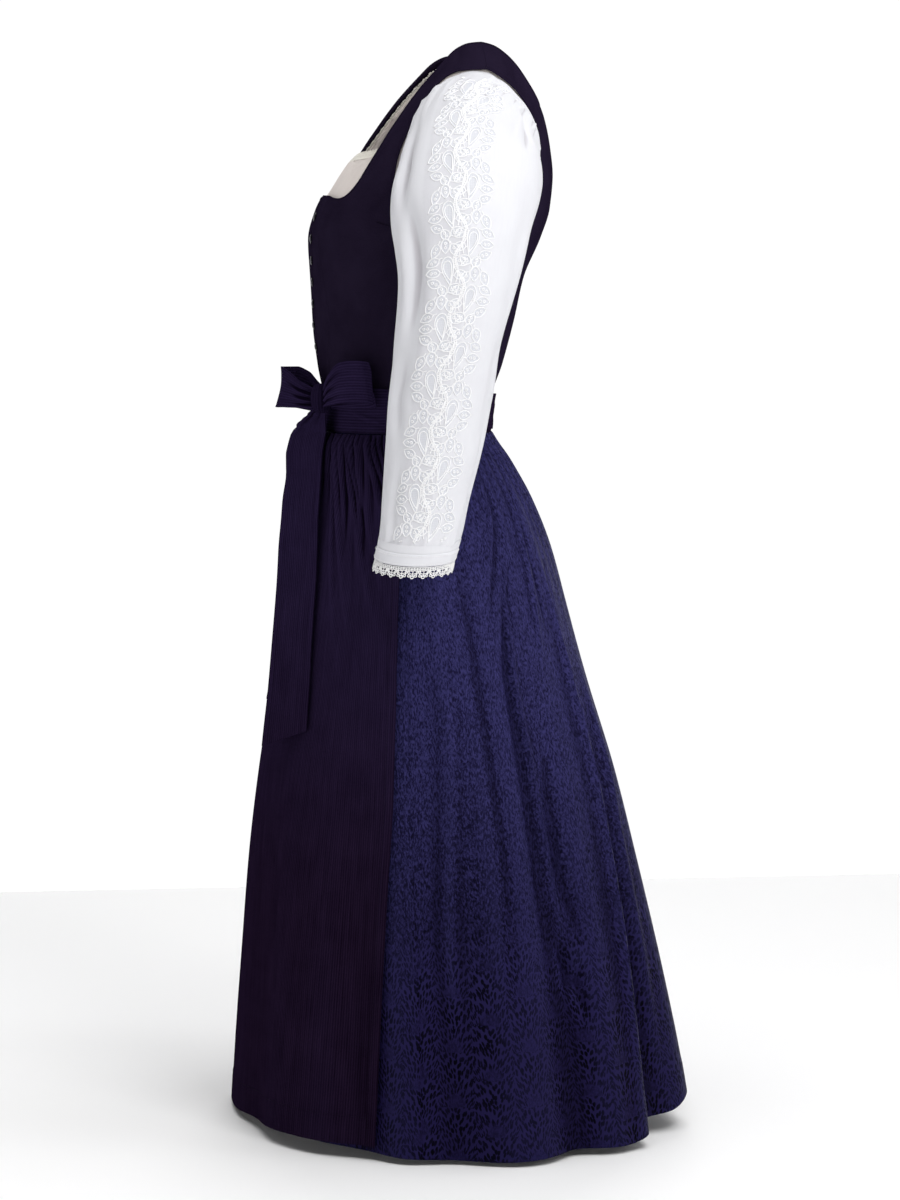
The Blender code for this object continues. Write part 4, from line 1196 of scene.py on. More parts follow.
@dataclass(frozen=True)
class RibbedFinish:
    """Dark satin of the apron and its ribbons, with fine ribs along its length and painted shade.
    """

    pitch: float = 0.0030
    dark: Colour = (0.0056, 0.0032, 0.0120)
    light: Colour = (0.0290, 0.0190, 0.0600)
    # Darker copies of the two tones: painted shade further down the cloth.
    low_dark: Colour = (0.0018, 0.0007, 0.0032)
    low_light: Colour = (0.0215, 0.0112, 0.0330)
    hollow: Colour = (0.0012, 0.0004, 0.0022)
    roughness: float = 0.55

    def material(self) -> Material:
        """Build the material.

        Returns:
            The material.
        """
        paint = Paint("apron_cloth", self.roughness)
        place, u, v = paint.flat()
        uneven = paint.noise(place, 300.0, 2.0, (1.0, 0.05, 1.0))
        ribs = (u + (uneven - 0.5) * 0.0006).wave(self.pitch)
        cloudy = paint.noise(place, 30.0, 2.0)
        grain = paint.noise(place, 800.0, 2.0, (1.0, 0.6, 1.0))
        weft = v.wave(0.0012)
        share = ribs * 0.34 + grain * 0.40 + cloudy * 0.30 + (uneven - 0.5) * 0.5 - 0.08
        share = share.limited()
        # Painted shade: the satin turns to darker copies further down the cloth's length, for light
        # that falls off towards the hem.
        low = v.step(0.10, 0.52)
        dark = paint.blend(low, self.dark, self.low_dark)
        light = paint.blend(low, self.light, self.low_light)
        # Painted shade in the hollows of folds, and a painted highlight in the light tone on their
        # ridges.
        paint.folded(paint.blend(share, dark, light), self.hollow, self.light, 0.85, 0.25)
        paint.rough(ribs * -0.10 + (self.roughness + 0.06))
        paint.bump(ribs * 0.8 + weft * 0.12 + grain * 0.2, 0.00018)
        paint.gloss(0.0, 0.006, (0.40, 0.22, 0.70), 0.45)
        return paint.material


@dataclass(frozen=True)
class CottonFinish:
    """Fine white cotton of the blouse, with painted shade in the hollows of its folds."""

    name: str = "blouse_cloth"
    shade: Colour = (0.660, 0.660, 0.698)
    bright: Colour = (0.750, 0.755, 0.790)
    hollow: Colour = (0.44, 0.415, 0.450)
    pitch: float = 0.00075
    roughness: float = 0.82
    strip: tuple[float, float] = (0.0, 0.0)

    def material(self) -> Material:
        """Build the material.

        Returns:
            The material.
        """
        paint = Paint(self.name, self.roughness)
        place, u, v = paint.flat()
        warp, weft = u.wave(self.pitch), v.wave(self.pitch)
        slubs = paint.noise(place, 500.0, 2.0, (1.0, 0.12, 1.0))
        cloudy = paint.noise(place, 35.0, 2.0)
        share = warp * weft * 0.35 + slubs * 0.35 + cloudy * 0.55
        middle, half = self.strip
        if half > 0.0:
            knots = paint.noise(place, 330.0, 2.0).step(0.42, 0.62)
            aside = (u - middle + v.step(0.15, 0.03) * 0.014).size()
            share = share - aside.step(half, half - 0.005) * (knots * 0.5 + 0.55)
        # Painted shade in the hollows of folds.
        paint.folded(paint.blend(share, self.shade, self.bright), self.hollow, self.bright, 0.5)
        paint.rough(cloudy * 0.10 + (self.roughness - 0.05))
        paint.bump(warp * 0.5 + weft * 0.5 + slubs * 0.6, 0.00005 + self.pitch * 0.04)
        paint.gloss(0.15, 0.05, (1.0, 1.0, 1.0))
        return paint.material


@dataclass(frozen=True)
class ThreadFinish:
    """Twisted thread: embroidery, lace and stitches."""

    name: str
    shade: Colour
    bright: Colour
    roughness: float = 0.6
    sheen: float = 0.2
    specular: float = 0.35

    def material(self) -> Material:
        """Build the material.

        Returns:
            The material.
        """
        paint = Paint(self.name, self.roughness)
        place = paint.solid()
        twist = paint.noise(place, 2600.0, 2.0)
        cloudy = paint.noise(place, 60.0, 2.0)
        paint.colour(paint.blend(twist * 0.6 + cloudy * 0.4, self.shade, self.bright))
        paint.rough(cloudy * 0.16 + (self.roughness - 0.08))
        paint.bump(twist, 0.00010)
        paint.gloss(self.specular, self.sheen, (1.0, 1.0, 1.0))
        return paint.material


@dataclass(frozen=True)
class ButtonFinish:
    """Dark, worn metal of the small domed buttons."""

    dark: Colour = (0.012, 0.011, 0.018)
    worn: Colour = (0.055, 0.05, 0.062)

    def material(self) -> Material:
        """Build the material.

        Returns:
            The material.
        """
        paint = Paint("button_metal", 0.30)
        place = paint.solid()
        specks = paint.noise(place, 900.0, 3.0)
        wear = paint.noise(place, 420.0, 2.0).step(0.52, 0.70)
        paint.colour(paint.blend(wear, self.dark, self.worn))
        paint.rough(specks * 0.25 + 0.16)
        paint.bump(specks, 0.00006)
        paint.shader.inputs["Metallic"].default_value = 0.85
        return paint.material


@dataclass(frozen=True)
class FloorFinish:
    """Plain pale studio floor."""

    colour: Colour = (0.95, 0.95, 0.955)

    def material(self) -> Material:
        """Build the material.

        Returns:
            The material.
        """
        paint = Paint("studio_floor", 0.9)
        cloudy = paint.noise(paint.solid(), 1.5, 2.0)
        lighter = tuple(min(c * 1.03, 1.0) for c in self.colour)
        paint.colour(paint.blend(cloudy, self.colour, lighter))
        paint.shader.inputs["Specular IOR Level"].default_value = 0.1
        return paint.material


BODICE_WALL = 0.0016
BLOUSE_WALL = 0.0010
BLOUSE_LIFT = -(BODICE_WALL + 0.0022)
APRON_WALL = 0.0012
SEAM_LAP = 0.00002
SEAM_DIP = 0.00075
SEAM_WIDTH = 0.0016
TURN = 0.0026  # metres of cloth for a degree round the torso
WAIST_SEAM = -0.4045
BODY_RINGS: Table = (
    (-0.001, 0.074, -0.011, -0.038, 0.014, 2.5), (-0.009, 0.091, -0.011, -0.05, 0.025, 2.5),
    (-0.017, 0.105, -0.011, -0.058, 0.031, 2.6), (-0.027, 0.121, -0.011, -0.064, 0.036, 2.7),
    (-0.039, 0.139, -0.012, -0.073, 0.041, 2.7), (-0.06, 0.152, -0.016, -0.089, 0.05, 2.8),
    (-0.085, 0.159, -0.023, -0.108, 0.06, 2.8), (-0.115, 0.163, -0.032, -0.131, 0.067, 2.7),
    (-0.145, 0.165, -0.043, -0.152, 0.071, 2.5), (-0.175, 0.164, -0.053, -0.169, 0.069, 2.35),
    (-0.205, 0.16, -0.059, -0.176, 0.06, 2.25), (-0.245, 0.153, -0.064, -0.175, 0.043, 2.2),
    (-0.29, 0.143, -0.07, -0.174, 0.033, 2.2), (-0.335, 0.135, -0.076, -0.169, 0.021, 2.2),
    (-0.375, 0.131, -0.079, -0.162, 0.008, 2.2), (-0.412, 0.133, -0.079, -0.161, 0.006, 2.2),
    (-0.44, 0.14, -0.079, -0.165, 0.012, 2.2),
)
SKIRT_RINGS: Table = (
    (-0.403, 0.133, -0.079, -0.161, 0.007, 2.2), (-0.416, 0.14, -0.079, -0.1635, 0.014, 2.2),
    (-0.438, 0.155, -0.077, -0.167, 0.029, 2.15), (-0.47, 0.172, -0.073, -0.173, 0.048, 2.1),
    (-0.52, 0.187, -0.067, -0.183, 0.0695, 2.1), (-0.58, 0.199, -0.06, -0.195, 0.087, 2.1),
    (-0.66, 0.212, -0.053, -0.21, 0.109, 2.1), (-0.75, 0.226, -0.046, -0.225, 0.1355, 2.1),
    (-0.85, 0.24, -0.038, -0.2355, 0.1585, 2.1), (-0.95, 0.253, -0.031, -0.2415, 0.1805, 2.1),
    (-1.05, 0.264, -0.026, -0.2475, 0.201, 2.1), (-1.125, 0.272, -0.023, -0.2515, 0.214, 2.1),
)
SKIRT_CREASES: tuple[Crease, ...] = crease_rows(
    (0.007, 0.0075, 0.64, -0.47, 0.628, -0.67, 0.621, -0.78, 0.603, -0.92, 0.59, -1.09),
    (0.0065, -0.0083, 0.656, -0.5, 0.642, -0.68, 0.635, -0.79, 0.618, -0.93, 0.606, -1.1),
    (0.005, 0.0045, 0.585, -0.44, 0.52, -0.56, 0.506, -0.65, 0.515, -0.85, 0.522, -0.96),
    (0.01, -0.0067, 0.56, -0.45, 0.495, -0.64, 0.492, -0.86, 0.5, -1.0),
    (0.009, -0.0067, 0.536, -0.7, 0.53, -0.83, 0.546, -0.93),
    (0.007, -0.009, 0.512, -0.905, 0.522, -0.935, 0.518, -0.965),
    (0.006, -0.0067, 0.54, -0.925, 0.532, -0.95, 0.536, -0.985),
    (0.008, 0.0067, 0.7, -0.62, 0.672, -0.8, 0.662, -0.96, 0.655, -1.09),
    (0.005, 0.0048, 0.612, -0.43, 0.59, -0.52, 0.57, -0.64),
    (0.0045, -0.0045, 0.628, -0.43, 0.612, -0.52, 0.6, -0.62),
    (0.006, -0.0045, 0.556, -0.43, 0.54, -0.49, 0.47, -0.6),
    (0.009, 0.0042, 0.38, -0.52, 0.392, -0.7, 0.372, -0.9, 0.376, -1.05),
    (0.012, -0.0051, 0.43, -0.46, 0.44, -0.62, 0.446, -0.82, 0.436, -1.0),
    (0.007, 0.0072, -0.6, -0.47, -0.625, -0.66, -0.615, -0.84, -0.59, -1.08),
    (0.0065, -0.0075, -0.618, -0.5, -0.643, -0.68, -0.632, -0.85, -0.606, -1.09),
    (0.006, 0.0048, -0.545, -0.44, -0.5, -0.62, -0.512, -0.84, -0.52, -0.98),
    (0.01, -0.0067, -0.56, -0.46, -0.48, -0.64, -0.488, -0.88, -0.498, -1.02),
    (0.007, -0.0075, -0.51, -0.9, -0.524, -0.94, -0.516, -0.98),
    (0.008, 0.0063, -0.7, -0.56, -0.68, -0.76, -0.69, -0.98),
    (0.011, -0.0048, -0.44, -0.48, -0.43, -0.7, -0.446, -0.96),
    (0.009, 0.0042, -0.385, -0.52, -0.372, -0.76, -0.38, -1.04),
)
BODY = Torso(BODY_RINGS)


def spaced(edge: Sequence[tuple[float, float]], count: int) -> ndarray:
    """Places at even distances along an edge of the torso.

    Args:
        edge: angles and heights.
        count: number of steps.

    Returns:
        Angles and heights, one row for each place.
    """
    table = np.array(edge, dtype=float)
    run = travelled(BODY.point(*table.T))
    steps = np.linspace(0.0, run[-1], count + 1)
    return joined(*(Curve(run, column).at(steps) for column in table.T))


def skirt_shares(rows: int) -> ndarray:
    """Shares of a skirt's length in a column, closer together under the waist."""
    even = np.linspace(0.0, 1.0, rows + 1)
    return (0.55 * even + 0.45 * even**1.8)[:, None]


def part_of(edge: Sequence[tuple[float, float]], start: object, end: object) -> Edge:
    """Rows of an edge between two of its rows, both included."""
    return list(edge[edge.index(start):edge.index(end) + 1])


def chain(*parts: ndarray) -> ndarray:
    """Edges joined end to end, where each starts at the last one's end."""
    return np.concatenate([part[:-1] for part in parts[:-1]] + [parts[-1]])


def torso_grid(first: ndarray, last: ndarray, columns: int) -> Grid:
    """Cloth between two edges of the torso, turned in a little where it is sewn along both.

    Args:
        first: angles and heights of one edge.
        last: those of the other, in as many rows.
        columns: number of steps between them.

    Returns:
        Outside of the cloth.
    """
    ends = BODY.point(*first.T), BODY.point(*last.T)
    width = np.linalg.norm(ends[1] - ends[0], axis=1)[:, None]
    gap = -0.5 * SEAM_LAP / np.maximum(width, 0.005)
    even = np.linspace(0.0, 1.0, columns + 1)
    t = gap + (1.0 - 2.0 * gap) * (0.5 - 0.5 * np.cos(even * math.pi) * 0.35 + 0.65 * (even - 0.5))
    t = gap + (1.0 - 2.0 * gap) * (t - t[:, :1]) / (t[:, -1:] - t[:, :1])
    places = first[:, None, :] + (last - first)[:, None, :] * t[..., None]
    a, z = places[..., 0], places[..., 1]
    near = np.minimum(t, 1.0 - t) * width
    puffed = 0.00035 * bell(near - 0.0045, 0.0022)
    dip = -SEAM_DIP * bell(near, SEAM_WIDTH) + puffed
    return Grid(BODY.moved(a, z, dip * (width > 0.02)), joined(a * TURN, z))


@dataclass
class Bodice:
    """Seven panels of the bodice, the piping of its edges and the front closure."""

    cloth: Material
    piping: float = 0.0011
    piping_lift: float = -0.0004
    fold_wall: float = 0.0005
    front_columns: int = 28
    side_columns: int = 32
    body_rows: int = 56
    strap_rows: int = 84
    back_low_rows: int = 28
    back_high_rows: int = 14
    back_neck_rows: int = 42
    neck_front_top: float = -0.1620
    shoulder_half_gap: float = 0.015
    front_princess: Table = (
        (19.0, -0.4045), (20.0, -0.36), (23.0, -0.325), (28.0, -0.284), (24.0, -0.242),
        (15.0, -0.164),
    )
    front_neck: Table = (
        (15.0, -0.164), (23.0, -0.1665), (30.0, -0.168), (34.5, -0.166), (37.5, -0.159),
        (38.6, -0.148), (38.5, -0.1355), (38.0, -0.116), (37.0, -0.096), (37.0, -0.078),
        (38.5, -0.062), (42.0, -0.048), (47.0, -0.037), (54.0, -0.0255), (64.0, -0.0165),
        (76.0, -0.0115), (90.0, -0.01),
    )
    front_armhole: Table = (
        (90.0, -0.212), (79.0, -0.206), (70.0, -0.187), (64.5, -0.166), (59.5, -0.143),
        (55.5, -0.119), (53.5, -0.099), (51.5, -0.083), (51.5, -0.068), (54.5, -0.0565),
        (60.5, -0.0465), (70.0, -0.041), (90.0, -0.039),
    )
    back_princess: Table = (
        (157.0, -0.4045), (157.0, -0.33), (155.0, -0.25), (152.0, -0.17), (150.5, -0.13),
        (150.0, -0.1), (150.0, -0.065),
    )
    back_neck: Table = (
        (150.0, -0.065), (140.0, -0.055), (128.0, -0.039), (115.0, -0.0235), (103.0, -0.014),
        (90.0, -0.01),
    )
    back_armhole: Table = (
        (90.0, -0.212), (108.0, -0.204), (123.0, -0.184), (132.0, -0.158), (135.5, -0.13),
        (134.5, -0.1065), (129.0, -0.087), (121.0, -0.071), (110.0, -0.057), (98.0, -0.046),
        (90.0, -0.039),
    )
    back_neck_top: Table = ((150.0, -0.0650), (165.0, -0.0720), (180.0, -0.0740))
    back_turn: tuple[float, float] = (135.5, -0.1300)
    seam_turn: tuple[float, float] = (150.5, -0.1300)

    def __post_init__(self) -> None:
        """Lay out the edges of the panels."""
        waist = self.waist = WAIST_SEAM - 0.5 * SEAM_LAP
        self.princess = spaced([(a, max(z, waist)) for a, z in self.front_princess], self.body_rows)
        self.centre = joined(0.0, np.linspace(waist, self.neck_front_top, self.body_rows + 1))
        self.side_seam = spaced([(90.0, waist), (90.0, -0.300), (90.0, -0.212)], self.body_rows)
        self.neck = spaced(self.front_neck, self.strap_rows)
        self.armhole = spaced(self.front_armhole, self.strap_rows)
        arm, back = list(self.back_armhole), [(a, max(z, waist)) for a, z in self.back_princess]
        self.low_arm = spaced(part_of(arm, arm[0], self.back_turn), self.back_low_rows)
        high_rows = self.back_high_rows + self.back_neck_rows
        self.high_arm = spaced(part_of(arm, self.back_turn, arm[-1]), high_rows)
        low_rows = self.body_rows + self.back_low_rows
        self.low_seam = spaced(part_of(back, back[0], self.seam_turn), low_rows)
        self.high_seam = spaced(part_of(back, self.seam_turn, back[-1]), self.back_high_rows)
        self.neck_back = spaced(self.back_neck, self.back_neck_rows)
        for edge in (self.neck, self.armhole):
            edge[-1, 0] = 90.0 - self.shoulder_half_gap
        for edge in (self.neck_back, self.high_arm):
            edge[-1, 0] = 90.0 + self.shoulder_half_gap

    def panels(self) -> dict[str, Grid]:
        """Outside of each panel of the left side, and of the centre back.

        Returns:
            Each panel's cloth, by its name.
        """
        seam = chain(self.low_seam, self.high_seam)
        side_front = chain(self.princess, self.neck), chain(self.side_seam, self.armhole)
        side_back = chain(self.side_seam, self.low_arm, self.high_arm), chain(seam, self.neck_back)
        return {
            "bodice_front": torso_grid(self.centre, self.princess, self.front_columns),
            "bodice_side_front": torso_grid(*side_front, self.side_columns),
            "bodice_side_back": torso_grid(*side_back, self.side_columns),
            "bodice_back": self.back_grid(seam),
        }

    def back_grid(self, seam: ndarray) -> Grid:
        """Outside of the centre back.

        Args:
            seam: angles and heights of the left back seam.

        Returns:
            Outside of the cloth.
        """
        top = Curve(*zip(*self.back_neck_top))
        t = np.linspace(-1.0, 1.0, 57)[None, :]
        share = ((seam[:, 1] - self.waist) / (seam[-1, 1] - self.waist))[:, None]
        first = self.back_neck_top[0][0]
        level = top.at(first + (180.0 - first) * (1.0 - np.abs(t)))
        angle = 180.0 + t * (180.0 - seam[:, :1] - 0.05)
        z = self.waist + (level - self.waist) * share
        near = (1.0 - np.abs(t)) * 0.06
        dip = -SEAM_DIP * bell(near, SEAM_WIDTH)
        return Grid(BODY.moved(angle, z, dip + 0.0 * angle), joined(angle * TURN, z))

    def edging(self) -> Object:
        """Piping round the neck and both armholes, and the fold of the front opening.

        Returns:
            The piece.
        """
        lines = Lines()
        front = spaced([(0.0, -0.162), (15.0, -0.164)], 8)[1:-1]
        edges = (
            np.concatenate([self.centre[-1:], front, self.neck]), self.neck_back,
            self.armhole, np.concatenate([self.low_arm[:-1], self.high_arm]),
        )
        for side in Side:
            for edge in edges:
                lines.add(side.placed(BODY.moved(*edge.T, self.piping_lift)))
        angles = np.linspace(150.0, 210.0, 60)
        heights = Curve(*zip(*self.back_neck_top)).at(180.0 - np.abs(angles - 180.0))
        lines.add(BODY.moved(angles, heights, self.piping_lift))
        return ThreadTree(8).lay("bodice_piping", lines, self.piping, self.cloth)

    def closure(self) -> Object:
        """Narrow fold that covers the centre front.

        Returns:
            The piece.
        """
        z = np.linspace(self.waist + 0.040, self.neck_front_top + 0.0005, 90)[:, None]
        t = np.linspace(0.0, 1.0, 9)[None, :]
        angle = -0.45 + 1.15 * t + 0.0 * z
        lift = 0.0013 * np.sin(math.pi * np.clip(t, 0.02, 0.98)) ** 0.6 + 0.0 * z
        grid = Grid(BODY.moved(angle, z + 0.0 * angle, lift), joined(angle * TURN, z))
        return shell("bodice_front_fold", grid.facing(BODY_AXIS), self.fold_wall, self.cloth)

    def build(self) -> None:
        for name, grid in self.panels().items():
            grid = grid.facing(BODY_AXIS)
            sides = {name: grid}
            if name != "bodice_back":
                sides = {f"{name}_{side.word}": grid.on(side) for side in Side}
            under = "blouse_back" if "back" in name else "blouse_front"
            given = BODICE_WALL, self.cloth, "bodice_cloth", Held.STRETCHED, under
            for node, sided in sides.items():
                sheet_piece(node, sided, *given)
        Dressing("bodice_cloth").give(self.edging())
        Dressing("bodice_cloth").give(self.closure())


@dataclass
class GatheredSkirt:
    """Front panel and two back panels of the skirt."""

    cloth: Material
    surface: Skirt
    side_seam: float = 23 * 360.0 / 112.0
    wall: float = 0.0014
    degree: float = 0.0046
    rows: int = 100
    columns_each_degree: float = 1.30
    seam_degree: float = 0.0042
    seam_dip: float = 0.0009
    seam_width: float = 0.0018
    hem_rise: float = 0.0005
    hem_fold: tuple[float, float] = (0.9535, 0.9555)
    hem: Table = (
        (-180, -1.091), (-158, -1.086), (-140, -1.098), (-118, -1.106), (-90, -1.113),
        (-60, -1.112), (-15, -1.113), (5, -1.11), (20, -1.106), (40, -1.107), (62, -1.112),
        (88, -1.1155), (106, -1.113), (125, -1.112), (134, -1.104), (147, -1.099), (157, -1.084),
        (180, -1.091),
    )

    def grid(self, start: float, end: float) -> Grid:
        """Outside of a panel between two angles.

        Args:
            start: angle of its first seam.
            end: angle of its other seam.

        Returns:
            Outside of the cloth.
        """
        count = round((end - start) * self.columns_each_degree)
        share = skirt_shares(self.rows)
        angle = np.linspace(start, end, count + 1)[None, :]
        level = Curve(*zip(*self.hem)).at(wrapped(angle))
        z = self.surface.TOP + (level - self.surface.TOP) * share
        gap = np.zeros_like(angle)
        gap[0, 0], gap[0, -1] = 1.0, -1.0
        angle = angle - gap * np.degrees(0.5 * SEAM_LAP / self.surface.half_width.at(z))
        near = np.minimum(angle - start, end - angle) * self.seam_degree
        sewn = -self.seam_dip * bell(near, self.seam_width) * eased(share, 0.0, 0.1)
        points = self.surface.moved(angle, z, sewn)
        down = travelled(points)[:, None]
        turned_up = self.hem_rise * eased(share, *self.hem_fold)
        points = points + self.surface.normal(angle, z) * turned_up[..., None]
        return Grid(points, joined(angle * self.degree, down + 0.0 * angle))

    def build(self) -> None:
        spans = {
            "skirt_front": (-self.side_seam, self.side_seam),
            "skirt_back_left": (self.side_seam, 180.0),
            "skirt_back_right": (180.0, 360.0 - self.side_seam),
        }
        for name, (start, end) in spans.items():
            grid = self.grid(start, end).facing(BODY_AXIS)
            given = self.wall, self.cloth, "skirt_cloth", Held.GATHERED, "bodice_back"
            sheet_piece(name, grid, *given)


@dataclass
class ApronPanel:
    """Gathered panel of the apron with its hems."""

    cloth: Material
    thread: Material
    surface: Apron
    rows: int = 86
    columns: int = 364
    hem_width: float = 0.0125
    hem_turn: float = 0.0018
    hem_rise: float = 0.0007
    hem_fold: float = 0.0006
    low_hem: float = 0.0300
    stitch_lift: float = 0.0006
    half_width: float = 0.285
    length: float = 0.71
    hem: Table = (
        (-70, -1.1060), (-20, -1.1165), (0, -1.1135), (20, -1.1080), (40, -1.1045), (62, -1.1055),
    )
    edge: Table = (
        (-1.11, 61.6), (-1.058, 62.6), (-0.959, 64.4), (-0.86, 66.9), (-0.762, 69.4),
        (-0.684, 70.3), (-0.605, 71.2), (-0.537, 73.1), (-0.47, 75.6), (-0.405, 77.1),
    )

    def places(self, share: ndarray, t: ndarray) -> tuple[ndarray, ndarray]:
        """Angle and height at shares of the length and of the width.

        Args:
            share: shares of the length.
            t: shares of the half width, below 0 on the right.

        Returns:
            Angles and heights.
        """
        hem = Curve(*zip(*self.hem))
        low = hem.values.mean()
        top = self.surface.TOP
        reach = Curve(*zip(*self.edge)).at(top + (low - top) * share)
        angle = reach * t
        return angle, top + (hem.at(angle) - top) * share

    def grid(self) -> Grid:
        """Outside of the panel.

        Returns:
            The cloth.
        """
        share = skirt_shares(self.rows)
        t = np.linspace(-1.0, 1.0, self.columns + 1)[None, :]
        angle, z = self.places(share, t)
        aside = (1.0 - np.abs(t)) * self.half_width
        up = (1.0 - share) * self.length
        fold = self.hem_fold
        side_hem = eased(aside, self.hem_width + fold, self.hem_width - fold)
        low_hem = eased(up, self.low_hem + fold, self.low_hem - fold)
        stitch = bell(aside - self.hem_width + self.hem_turn, 0.0007)
        low_stitch = bell(up - self.low_hem + self.hem_turn, 0.0008)
        lift = self.hem_rise * np.maximum(side_hem, low_hem)
        lift = lift - 0.0003 * np.maximum(stitch, low_stitch)
        points = self.surface.moved(angle, z, lift)
        return Grid(points, joined(t * self.half_width, travelled(points)[:, None]))

    def stitches(self) -> Object:
        """Stitches of the side hems and of the lower hem.

        Returns:
            The piece.
        """
        lines = Lines()
        share = np.linspace(0.01, 0.995, 260)
        for sign in (-1.0, 1.0):
            t = sign * (1.0 - (self.hem_width - self.hem_turn) / self.half_width) + 0.0 * share
            lines.add(self.surface.moved(*self.places(share, t), self.stitch_lift))
        t = np.linspace(-0.96, 0.96, 260)
        low = 1.0 - (self.low_hem - self.hem_turn) / self.length + 0.0 * t
        lines.add(self.surface.moved(*self.places(low, t), self.stitch_lift))
        sizes = {"pitch": 0.0034, "length": 0.0023, "radius": 0.00022}
        guide = lines.guide("apron_stitches")
        return StitchTree().run(guide, "apron_stitches", **sizes, material=self.thread)

    def build(self) -> None:
        given = APRON_WALL, self.cloth, "apron_cloth", Held.GATHERED, "apron_waistband"
        sheet_piece("apron_panel", self.grid().facing(BODY_AXIS), *given)
        Dressing("apron_cloth").give(self.stitches())


def ribbon_grid(
    centres: ndarray, ways: ndarray, widths: ndarray, across: int,
    relief: Callable[[ndarray, ndarray], ndarray],
) -> Grid:
    """Cloth strip along a path.

    Args:
        centres: points of its centre line.
        ways: directions of its width.
        widths: its widths.
        across: number of columns.
        relief: height of its pleats, by the share of the width and of the length.

    Returns:
        The grid, with its columns across and its rows along the strip.
    """
    s = np.linspace(-0.5, 0.5, across + 1)[None, :]
    run = unit(np.gradient(centres, axis=0))
    normal = unit(np.cross(run, ways))
    points = centres[:, None] + ways[:, None] * (widths[:, None] * s)[..., None]
    along = np.linspace(0.0, 1.0, len(centres))[:, None]
    points = points + normal[:, None] * relief(s + 0.0 * along, along + 0.0 * s)[..., None]
    full = max(float(widths.max()), 0.03)
    return Grid(points, joined(s * full, travelled(centres)[:, None]))


def through(table: Table, count: int) -> ndarray:
    """Rows of a table at even steps along it, through smooth curves.

    Args:
        table: rows of numbers.
        count: number of steps.

    Returns:
        One row of numbers for each place.
    """
    keys = np.arange(len(table), dtype=float)
    steps = np.linspace(0.0, len(table) - 1.0, count + 1)
    return np.stack([Curve(keys, column).at(steps) for column in zip(*table)], axis=1)


class Under(Enum):
    """What a tie lies on, as the clearance of its inside from the bodice."""

    BODICE = 0.0018
    TIE = 0.0018 + 0.0012 + 0.0006
    BAND = 0.0010 + 0.0018 + 0.0006


